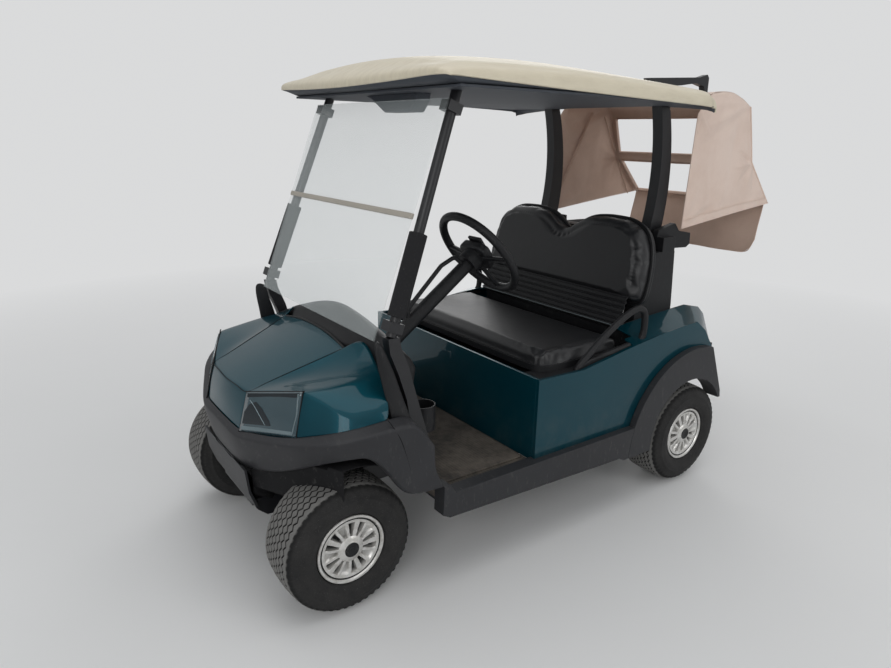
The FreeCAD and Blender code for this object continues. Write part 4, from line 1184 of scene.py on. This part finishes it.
def seatBack():
    settings = {"inset": 10.0, "front": 12.0, "rear": 74.0, "seam": 52.0, "seamRise": 58.0, "held": 8.0,
                "least": 0.5, "shell": 66.0, "shellDepth": 24.0, "welt": 65.0}
    half = [(0, -22), (220, -22), (400, -22), (458, -15), (486, 6), (495, 50), (493, 130), (480, 205),
            (456, 264), (416, 308), (352, 336), (280, 343), (200, 342), (124, 330), (60, 300), (0, 268)]
    ring = smoothOutline(half, 5)
    start = inset(ring, settings["inset"])
    outline = [backPlace(x, s, settings["front"]) for x, s in start]
    depth = backPlace(0, 0, settings["rear"]) - backPlace(0, 0, settings["front"])
    pad = prism("back_pad", outline, depth, 22.0, 5)
    applyModifiers(pad)
    behind = depth.normalized()
    origin = backPlace(0, 0, 0)
    up = (backPlace(0, 1, 0) - origin).normalized()
    rearLevel = (settings["rear"] - settings["held"]) * mm
    stuffed(pad, lambda place: (place - origin).dot(behind) > rearLevel)
    # The face is a panel with a soft bolster over and beside it
    seam = [(a, b) for a, b in inset(ring, settings["seam"]) if b > settings["seamRise"]]
    tree = flatTree([(a * mm, b * mm) for a, b in seam])

    def onFace(vertex):
        if vertex.normal.dot(behind) > -0.4:
            return None
        away = vertex.co - origin
        return (away.x, away.dot(up))

    seamGroove(pad, tree, onFace)
    least = settings["least"] * mm
    for vertex in pad.data.vertices:
        depthHere = (vertex.co - origin).dot(behind)
        if depthHere < least:
            vertex.co += behind * (least - depthHere)
    dress(pad, "vinyl", replaces=["seat_back"])
    shell = prism("back_shell", [backPlace(x, s, settings["shell"]) for x, s in inset(ring, 4.0)],
                  behind * settings["shellDepth"] * mm, 9.0, 4)
    dress(shell, "plastic")
    line = [backPlace(x, s, settings["welt"]) for x, s in inset(ring, 3.5)]
    welt = sweep("back_welt", line, 3.6, 8, closed=True)
    dress(welt, "vinyl")


def alongLine(points, share):
    # The point at a share of the length of a broken line
    lengths = [(b - a).length for a, b in zip(points, points[1:])]
    goal = share * sum(lengths)
    for a, b, length in zip(points, points[1:], lengths):
        if goal <= length:
            return a.lerp(b, goal / length)
        goal -= length
    return points[-1].copy()


def blendedPatch(front, rear, top, bottom, u, v):
    # A Coons patch between four edges; u runs front to rear and v from top to bottom
    edge = alongLine(top, u) * (1 - v) + alongLine(bottom, u) * v
    side = alongLine(front, v) * (1 - u) + alongLine(rear, v) * u
    corner = (top[0] * (1 - u) * (1 - v) + top[-1] * u * (1 - v) + bottom[0] * (1 - u) * v
              + bottom[-1] * u * v)
    return edge + side - corner


def foldHeight(a, b, folds):
    # Sum of soft ridges, each given as start, end, width and height in mm
    total = 0.0
    for (ax, ay), (bx, by), width, height in folds:
        dx, dy = bx - ax, by - ay
        share = ((a - ax) * dx + (b - ay) * dy) / (dx * dx + dy * dy)
        inside = within(share, 0.0, 1.0)
        distance = math.hypot(a - ax - inside * dx, b - ay - inside * dy)
        fade = 1.0 - 0.75 * abs(2 * inside - 1.0) ** 3
        total += height * fade * math.exp(-(distance / width) ** 2)
    return total


def coverSide():
    settings = {
        "top": [(63, 1604), (100, 1650), (150, 1692), (225, 1702), (304, 1702), (385, 1680), (452, 1649)],
        "front": [(63, 1604), (55, 1450), (47, 1290), (40, 1128)],
        "rear": [(452, 1649), (490, 1530), (527, 1406), (588, 1345), (655, 1278), (721, 1212)],
        "bottom": [(40, 1128), (270, 1158), (500, 1187), (721, 1212)],
        "x": 405, "across": 64, "down": 56, "billow": 7.0, "wrinkle": 2.2,
        "hem": 0.068, "hemSteps": 4, "hemProud": 2.2,
        "folds": [
            ((430, 1655), (150, 1560), 16, 7), ((445, 1640), (110, 1480), 20, -6),
            ((400, 1670), (120, 1640), 14, 5), ((160, 1690), (70, 1560), 14, 6),
            ((120, 1660), (64, 1500), 12, -5), ((90, 1600), (150, 1530), 12, 5),
            ((527, 1406), (400, 1450), 11, -8), ((527, 1400), (390, 1385), 10, 7),
            ((530, 1398), (430, 1320), 11, -6), ((535, 1395), (500, 1290), 12, 6),
            ((545, 1385), (570, 1270), 11, -5), ((510, 1430), (470, 1520), 14, 5),
            ((70, 1150), (190, 1235), 12, 6), ((110, 1150), (260, 1220), 13, -6),
            ((60, 1180), (120, 1300), 14, 5), ((640, 1290), (560, 1205), 14, 5),
            ((300, 1180), (330, 1400), 26, 5), ((200, 1400), (240, 1180), 24, -4),
            ((380, 1600), (330, 1300), 30, -5), ((450, 1500), (420, 1250), 26, 4),
        ],
    }
    edges = {}
    for name in ("top", "front", "rear", "bottom"):
        edges[name] = [aft(settings["x"], y, z) for y, z in settings[name]]

    def place(u, v, proud=0.0):
        spot = blendedPatch(edges["front"], edges["rear"], edges["top"], edges["bottom"], u, v)
        a, b = (spot.y - rearAxle) / mm, spot.z / mm
        calm = min(1.0, u / 0.06, (1 - u) / 0.06, v / 0.06, (1 - v) / 0.04)
        out = foldHeight(a, b, settings["folds"]) * max(0.0, calm)
        out += settings["billow"] * math.sin(math.pi * u) * math.sin(math.pi * v)
        out += settings["wrinkle"] * noise.noise(Vector((a * 0.012, b * 0.012, 3.0))) * calm
        return spot + Vector((out + proud, 0, 0)) * mm

    across, down = settings["across"], settings["down"]
    rows = [[place(i / across, j / down) for i in range(across + 1)] for j in range(down + 1)]
    cloth = netPiece("cover_side", rows)
    steps = settings["hemSteps"]
    levels = [1 - settings["hem"] * (1 - j / steps) for j in range(steps + 1)]
    hem = [[place(i / across, level, settings["hemProud"]) for i in range(across + 1)] for level in levels]
    band = netPiece("cover_hem", hem)
    lip = sweep("cover_cord", [place(i / across, 0.998, 1.0) for i in range(across + 1)], 3.2, 8)
    upper = sweep("cover_stitch", [place(i / across, 0.932, 2.0) for i in range(across + 1)], 1.5, 6)
    front = sweep("cover_edge", [place(0.004, j / down, 0.5) for j in range(down + 1)], 2.6, 8)
    rear = sweep("cover_corner", [place(0.996, j / down, 1.0) for j in range(down + 1)], 3.0, 8)
    trims = [band, lip, upper, front, rear]
    for piece in [cloth, band]:
        addModifier(piece, "SOLIDIFY", thickness=1.6 * mm, offset=-1.0, material_offset=1)
        smooth(piece, 0)
    made = [paired(piece, "cloth") for piece in trims]
    sheets = paired(cloth, "cloth", ["bag_cover"])
    # The sheets' inner faces take the darker cloth: painted shade
    for piece in list(sheets) + list(made[0]):
        piece.data.materials.append(finishes["clothInside"])


def coverTop():
    settings = {
        "half": 404.0, "window": 372.0, "sag": 6.0, "wrinkle": 3.0, "sewnShare": 0.3, "binding": 9.0,
        "profile": [(96, 1652), (118, 1682), (150, 1695), (190, 1702), (250, 1706), (304, 1703),
                    (345, 1693), (385, 1680), (425, 1664), (452, 1649), (459, 1628), (466, 1606),
                    (480, 1558), (500, 1494), (514, 1449), (519, 1433), (525, 1411), (543, 1390),
                    (575, 1357), (610, 1321), (645, 1286), (680, 1251), (705, 1226), (721, 1212)],
        "windows": {"upper": (1433.0, 1606.0), "lower": (1226.0, 1390.0)},
        "columns": [-404, -401, -394, -383, -372, -330, -280, -230, -180, -130, -80, -40, 0],
    }
    columns = settings["columns"] + [-x for x in reversed(settings["columns"][:-1])]
    curve = settings["profile"]
    rows = []
    for k, (y, z) in enumerate(curve):
        row = []
        for x in columns:
            sag = settings["sag"] * (1 - (x / settings["half"]) ** 2)
            wrinkle = settings["wrinkle"] * noise.noise(Vector((x * 0.012, y * 0.014, z * 0.012)))
            spread = 1.0 if 0 < k < len(curve) - 1 else settings["sewnShare"]
            row.append(aft(x, y - (sag + wrinkle) * spread * 0.5, z - (sag - wrinkle) * spread * 0.5))
        rows.append(row)
    points = [point for row in rows for point in row]
    width = len(columns)
    faces = []
    for i in range(len(rows) - 1):
        level = (curve[i][1] + curve[i + 1][1]) / 2
        isOpen = any(low < level < high for low, high in settings["windows"].values())
        for j in range(width - 1):
            inside = abs(columns[j] + columns[j + 1]) / 2 < settings["window"]
            if not (isOpen and inside):
                a, b = i * width + j, (i + 1) * width + j
                faces.append((a, a + 1, b + 1, b))
    cloth = makeMesh("cover_back", points, faces)
    addModifier(cloth, "SUBSURF", levels=2, render_levels=2)
    # The inner faces take the darker cloth: painted shade
    addModifier(cloth, "SOLIDIFY", thickness=1.6 * mm, offset=-1.0, material_offset=1)
    smooth(cloth, 0)
    dress(cloth, "cloth", replaces=["bag_cover"])
    cloth.data.materials.append(finishes["clothInside"])
    # Bound edges round the two windows
    for name, (low, high) in settings["windows"].items():
        side = [(y, z) for y, z in curve if low <= z <= high]
        rise = [aft(settings["window"], y - 1.5, z - 1.5) for y, z in side]
        fall = [Vector((-p.x, p.y, p.z)) for p in reversed(rise)]
        ring = rise + fall
        loop = []
        for a, b in zip(ring, ring[1:] + ring[:1]):
            loop += [a.lerp(b, t) for t in ((0.0, 0.5) if (b - a).length > 0.2 else (0.0,))]
        # The window bindings are darker cloth: painted shade
        binding = sweep("window_binding_" + name, loop, settings["binding"], 8, closed=True, flat=0.3)
        dress(binding, "clothInside")


def coverFlap():
    settings = {
        "half": 388.0, "corner": 70.0, "columns": 33, "wave": 6.0, "wrinkle": 4.0,
        "rows": [(719, 1214), (714, 1180), (704, 1130), (694, 1080), (688, 1030), (684, 990), (682, 962)],
    }
    count = settings["columns"]
    rows = []
    last = len(settings["rows"]) - 1
    for k, (y, z) in enumerate(settings["rows"]):
        row = []
        for j in range(count):
            x = settings["half"] * (2 * j / (count - 1) - 1)
            beyond = max(0.0, abs(x) - (settings["half"] - settings["corner"])) / settings["corner"]
            lift = settings["corner"] * (1 - math.sqrt(max(0.0, 1 - beyond ** 2)))
            share = k / last
            height = z + lift * share ** 2
            wave = settings["wave"] * math.sin(x * 0.021 + 0.8) * share
            wave += settings["wrinkle"] * noise.noise(Vector((x * 0.009, z * 0.01, 7)))
            row.append(aft(x, y + wave * share - 4, height))
        rows.append(row)
    flap = netPiece("cover_flap", rows)
    edge = [row[0] for row in rows] + rows[-1][1:-1] + [row[-1] for row in reversed(rows)]
    addModifier(flap, "SUBSURF", levels=2, render_levels=2)
    addModifier(flap, "SOLIDIFY", thickness=1.8 * mm, offset=0.0)
    smooth(flap, 0)
    # The whole flap and its edge cord are darker cloth: painted shade
    dress(flap, "clothInside", replaces=["bag_cover"])
    cord = sweep("flap_edge", curveThrough(edge, 3), 2.6, 8)
    dress(cord, "clothInside")


def coverFrame():
    # The fold-out stay and the sewn seam on the inside of each side
    lines = {
        "cover_stay": ([(297, 1629), (200, 1440), (96, 1243)], 9.0),
        "cover_seam": ([(394, 1612), (520, 1406), (646, 1200)], 4.0),
    }
    for name, (points, radius) in lines.items():
        path = curveThrough([aft(396, y, z) for y, z in points], 8)
        # The stays and seams are darker cloth: painted shade
        paired(sweep(name, path, radius, 10, flat=0.5), "clothInside")


def backPanel():
    # The ribbed panel that closes the gap below the seat back
    settings = {
        "lip": [(-338, 690), (-342, 734), (-362, 744), (-368, 750), (-366, 757), (-358, 760)],
        "foot": (-358, 760), "top": (-322, 874), "ribs": 5, "relief": 6.0,
        "rib": ((0.10, 0.0), (0.22, 1.0), (0.62, 1.0), (0.74, 0.0)), "columns": (-446, -150, 150, 446),
        "piping": (-368, 752),
    }
    (footY, footZ), (topY, topZ) = settings["foot"], settings["top"]
    section = list(settings["lip"])
    for k in range(settings["ribs"]):
        for share, proud in settings["rib"]:
            at = (k + share) / settings["ribs"]
            section.append((footY + (topY - footY) * at - proud * settings["relief"],
                            footZ + (topZ - footZ) * at))
    section.append(settings["top"])
    rows = [[aft(x, y, z) for y, z in section] for x in settings["columns"]]
    piece = netPiece("back_panel", rows)
    addModifier(piece, "SOLIDIFY", thickness=4 * mm, offset=1.0)
    addModifier(piece, "BEVEL", width=1.5 * mm, segments=2, limit_method="ANGLE", angle_limit=0.4)
    smooth(piece, 40.0)
    dress(piece, "plastic")
    line = [aft(x, *settings["piping"]) for x in settings["columns"]]
    dress(sweep("panel_piping", line, 3.4, 8), "piping")


def armrests():
    # A flattened loop of tube on each side of the seat, on a foot plate
    settings = {
        "inset": 18.0, "radius": 14.0,
        "loop": [(-702, 655), (-660, 692), (-560, 764), (-470, 817), (-400, 846), (-356, 848), (-328, 826),
                 (-320, 780), (-326, 728), (-352, 706), (-420, 700), (-520, 690), (-620, 676), (-684, 658)],
        "foot": [(-716, 642), (-706, 668), (-640, 690), (-560, 694), (-400, 700), (-330, 716), (-310, 700),
                 (-404, 691), (-560, 668)],
    }
    radius = settings["radius"]
    x = (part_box("armrests")[1].x / mm) - settings["inset"]
    path = curveThrough([aft(x, y, z) for y, z in settings["loop"]], 8, closed=True)
    loop = sweep("armrest", path, radius, 12, closed=True)
    paired(loop, "plastic", ["armrests"])
    foot = prism("armrest_foot", [aft(x - radius, y, z) for y, z in settings["foot"]],
                 Vector((2 * radius * mm, 0, 0)), 4.0)
    paired(foot, "plastic")


cushion()
seatBack()
backPanel()
armrests()
print("seat made")
coverSide()
coverTop()
coverFlap()
coverFrame()
print("bag cover made")


# Steering wheel and tail lights

def steeringTop(rise, across=0.0, up=0.0):
    # Places counted from the top of the column: along it, across the cart and up the wheel's face
    settings = {"foot": (240, 296, 775), "length": 480, "lean": 37.0}
    lean = math.radians(settings["lean"])
    along = Vector((0, math.cos(lean), math.sin(lean)))
    face = Vector((0, -math.sin(lean), math.cos(lean)))
    start = fore(*settings["foot"]) + along * settings["length"] * mm
    return start + along * rise * mm + Vector((across * mm, 0, 0)) + face * up * mm


def onWheel(piece):
    return dress(piece, "plastic", body="steering_wheel")


def steeringDress():
    settings = {
        "ring": 175, "grip": 16.0, "gripRise": 26.0, "segments": 72,
        "padFrom": 4.0, "padTo": 38.0, "clipTo": 50.0,
        "pad": [(-74, 34), (-48, 52), (48, 52), (74, 34), (74, -16), (44, -60), (-44, -60), (-74, -16)],
        "clip": [(-36, 6), (36, 6), (36, 62), (-36, 62)],
        "spokes": ((0.0, 15.0), (90.0, 13.0), (180.0, 15.0)), "spokeFrom": 50, "spokeLength": 118,
        "spokeRise": (10.0, 16.0),
    }
    ring = []
    for k in range(settings["segments"]):
        angle = 2 * math.pi * k / settings["segments"]
        ring.append(steeringTop(settings["gripRise"], settings["ring"] * math.cos(angle),
                                settings["ring"] * math.sin(angle)))
    onWheel(sweep("wheel_grip", ring, settings["grip"], 16, closed=True))
    low, middle, high = (settings[key] for key in ("padFrom", "padTo", "clipTo"))
    pad = [steeringTop(low, a, b) for a, b in settings["pad"]]
    onWheel(prism("wheel_pad", pad, steeringTop(middle) - steeringTop(low), 9.0, 4))
    clip = [steeringTop(middle, a, b) for a, b in settings["clip"]]
    onWheel(prism("score_clip", clip, steeringTop(high) - steeringTop(middle), 4.0, 3))
    start, slope = settings["spokeRise"]
    for k, (angle, wide) in enumerate(settings["spokes"]):
        a, b = math.cos(math.radians(angle)), -math.sin(math.radians(angle))
        spoke = []
        for t in (0, 0.5, 1):
            out = settings["spokeFrom"] + settings["spokeLength"] * t
            spoke.append(steeringTop(start + slope * t, a * out, b * out))
        onWheel(sweep("wheel_spoke_" + str(k), spoke, [wide, wide - 2, wide], 10, flat=0.6))


def tailLights():
    settings = {"outer": 30, "inner": 88, "low": 636, "high": 694, "front": 200, "depth": 12}
    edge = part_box("tail_lights")[1].x
    outer, inner = edge - settings["outer"] * mm, edge - settings["inner"] * mm
    low, high = settings["low"], settings["high"]
    y = aft(0, settings["front"], 0).y
    ring = ((inner, low), (outer, low), (outer, high), (inner, high))
    outline = [Vector((x, y, z * mm)) for x, z in ring]
    lens = prism("tail_light", outline, Vector((0, settings["depth"] * mm, 0)), 4.0, 3)
    paired(lens, "redLens", ["tail_lights"])


steeringDress()
tailLights()


# CAD nodes that stay, with soft edges

keptFinishes = {
    "charcoal": ["rear_flares", "sills", "rear_bumper", "front_undershield"],
    "plastic": ["rear_deck", "cup_holders", "pedals", "steering_wheel", "steering_column",
                "seat_ledges", "seat_back_frame"],
    "blackSteel": ["frame_rails", "frame_members", "front_axle_beam", "knuckle_left", "knuckle_right",
                   "rack_housing", "rear_axle_tube", "front_pillars", "rear_struts", "bag_rack",
                   "cover_arms", "rear_springs"],
    "brightSteel": ["steering_rack", "steering_link", "rear_axle_shaft_left", "rear_axle_shaft_right",
                    "front_shocks"],
    "paint": ["quarter_panels", "seat_box_front"],
    "lining": ["roof_liner"],
    "screen": ["screen_lower", "screen_upper"],
    "strip": ["screen_hinge"],
    "foam": ["pillar_sleeves"],
    "mat": ["floor_mat", "floor_pan"],
    "battery": ["battery_pack"],
    "castMetal": ["motor_and_transaxle"],
}


def dressNodes():
    for finish, names in keptFinishes.items():
        for name in names:
            node = nodes[name]
            node.data.materials.clear()
            node.data.materials.append(finishes[finish])
            if finish != "screen":
                addModifier(node, "WELD", merge_threshold=0.05 * mm)
                addModifier(node, "BEVEL", width=2.2 * mm, segments=2, limit_method="ANGLE",
                            angle_limit=0.6)
                addModifier(node, "WEIGHTED_NORMAL", keep_sharp=False)


dressNodes()
print("nodes dressed")


# Stage, light and camera

backdrop = (0.70, 0.705, 0.71)


def raysOf(tree, *kinds):
    # 1 for the rays of these kinds
    path = tree.nodes.new("ShaderNodeLightPath")
    found = Wire(tree, path.outputs["Is " + kinds[0] + " Ray"])
    for kind in kinds[1:]:
        found = found + Wire(tree, path.outputs["Is " + kind + " Ray"])
    return found.clamped()


def stage():
    settings = {"half": 40, "fadeFrom": 1.9, "fadeOver": 3.6}
    half = settings["half"]
    corners = [Vector((x, y, 0)) for x, y in ((-half, -half), (half, -half), (half, half), (-half, half))]
    floor = makeMesh("floor", corners, [(0, 1, 2, 3)])
    made = Finish("studio_floor", {"Roughness": 0.6, "Specular_IOR_Level": 0.2})
    made.feed(Base_Color=made.mix(made.cloud(0.8, 4.0), (0.82, 0.82, 0.815), (0.86, 0.86, 0.855)))
    # Far away the floor takes on the backdrop's colour
    x, y = made.axis("X"), made.axis("Y")
    away = arithmetic(made.tree, "SQRT", x * x + y * y).above(settings["fadeFrom"], settings["fadeOver"])
    glow = made.node("Emission", inputs={"Color": backdrop})
    mixed = made.tree.nodes.new("ShaderNodeMixShader")
    connect(made.tree, mixed.inputs["Fac"], away * raysOf(made.tree, "Camera", "Transmission"))
    made.tree.links.new(made.shader.outputs[0], mixed.inputs[1])
    made.tree.links.new(glow.socket, mixed.inputs[2])
    made.tree.links.new(mixed.outputs[0], made.tree.nodes["Material Output"].inputs["Surface"])
    floor.data.materials.append(made.material)


def world():
    settings = {"lit": (0.80, 0.82, 0.84), "strength": 0.50, "horizon": 0.5, "zenith": 1.25}
    made = bpy.data.worlds.new("studio")
    scene.world = made
    made.use_nodes = True
    tree = made.node_tree
    lit = tree.nodes["Background"]
    lit.inputs["Color"].default_value = settings["lit"] + (1.0,)
    lit.inputs["Strength"].default_value = settings["strength"]
    shown = tree.nodes.new("ShaderNodeBackground")
    shown.inputs["Color"].default_value = backdrop + (1.0,)
    # Gloss sees a ceiling that is brighter than the walls
    split = tree.nodes.new("ShaderNodeSeparateXYZ")
    tree.links.new(tree.nodes.new("ShaderNodeTexCoord").outputs["Generated"], split.inputs[0])
    height = Wire(tree, split.outputs["Z"]).above(0.0, 0.8)
    gloss = raysOf(tree, "Glossy")
    ceiling = height * (settings["zenith"] - settings["horizon"]) + settings["horizon"]
    connect(tree, shown.inputs["Strength"], gloss * ceiling + (1.0 - gloss))
    mixed = tree.nodes.new("ShaderNodeMixShader")
    connect(tree, mixed.inputs["Fac"], raysOf(tree, "Camera", "Glossy", "Transmission"))
    tree.links.new(lit.outputs[0], mixed.inputs[1])
    tree.links.new(shown.outputs[0], mixed.inputs[2])
    tree.links.new(mixed.outputs[0], tree.nodes["World Output"].inputs["Surface"])


def lamp(name, place, aim, size, power):
    made = bpy.data.lights.new(name, "AREA")
    made.shape = "RECTANGLE"
    made.size, made.size_y = size
    made.energy = power
    piece = bpy.data.objects.new(name, made)
    scene.collection.objects.link(piece)
    piece.location = place
    way = Vector(aim) - Vector(place)
    piece.rotation_euler = way.to_track_quat("-Z", "Y").to_euler()


def camera():
    settings = {
        "place": fore(2165.4, -850.5, 1497.2), "yaw": 143.86, "pitch": -16.63, "roll": 1.223,
        "focalPixels": 663.9, "widthPixels": 891,
    }
    yaw, pitch, roll = (math.radians(settings[key]) for key in ("yaw", "pitch", "roll"))
    ahead = Vector((math.cos(pitch) * math.cos(yaw), math.cos(pitch) * math.sin(yaw), math.sin(pitch)))
    right = ahead.cross(Vector((0, 0, 1))).normalized()
    up = right.cross(ahead)
    side = right * math.cos(roll) + up * math.sin(roll)
    top = up * math.cos(roll) - right * math.sin(roll)
    made = bpy.data.cameras.new("camera")
    made.sensor_width = 36.0
    made.lens = settings["focalPixels"] / settings["widthPixels"] * made.sensor_width
    made.clip_start = 0.05
    piece = bpy.data.objects.new("camera", made)
    scene.collection.objects.link(piece)
    turn = Matrix((side, top, -ahead)).transposed().to_4x4()
    piece.matrix_world = Matrix.Translation(settings["place"]) @ turn
    scene.camera = piece


stage()
world()
lamp("ceiling", (0.4, -0.2, 7.0), (0, 0, 0.6), (6.0, 6.0), 120.0)
lamp("key", (4.2, -5.0, 3.2), (0, -0.3, 0.6), (2.6, 2.6), 75.0)
lamp("side", (5.2, 2.2, 2.2), (0, 0.3, 0.7), (2.0, 2.4), 32.0)
lamp("back", (-3.6, 3.4, 2.2), (0, 0, 0.9), (3.0, 3.0), 45.0)
camera()
scene.view_settings.view_transform = "Standard"
print("stage made")
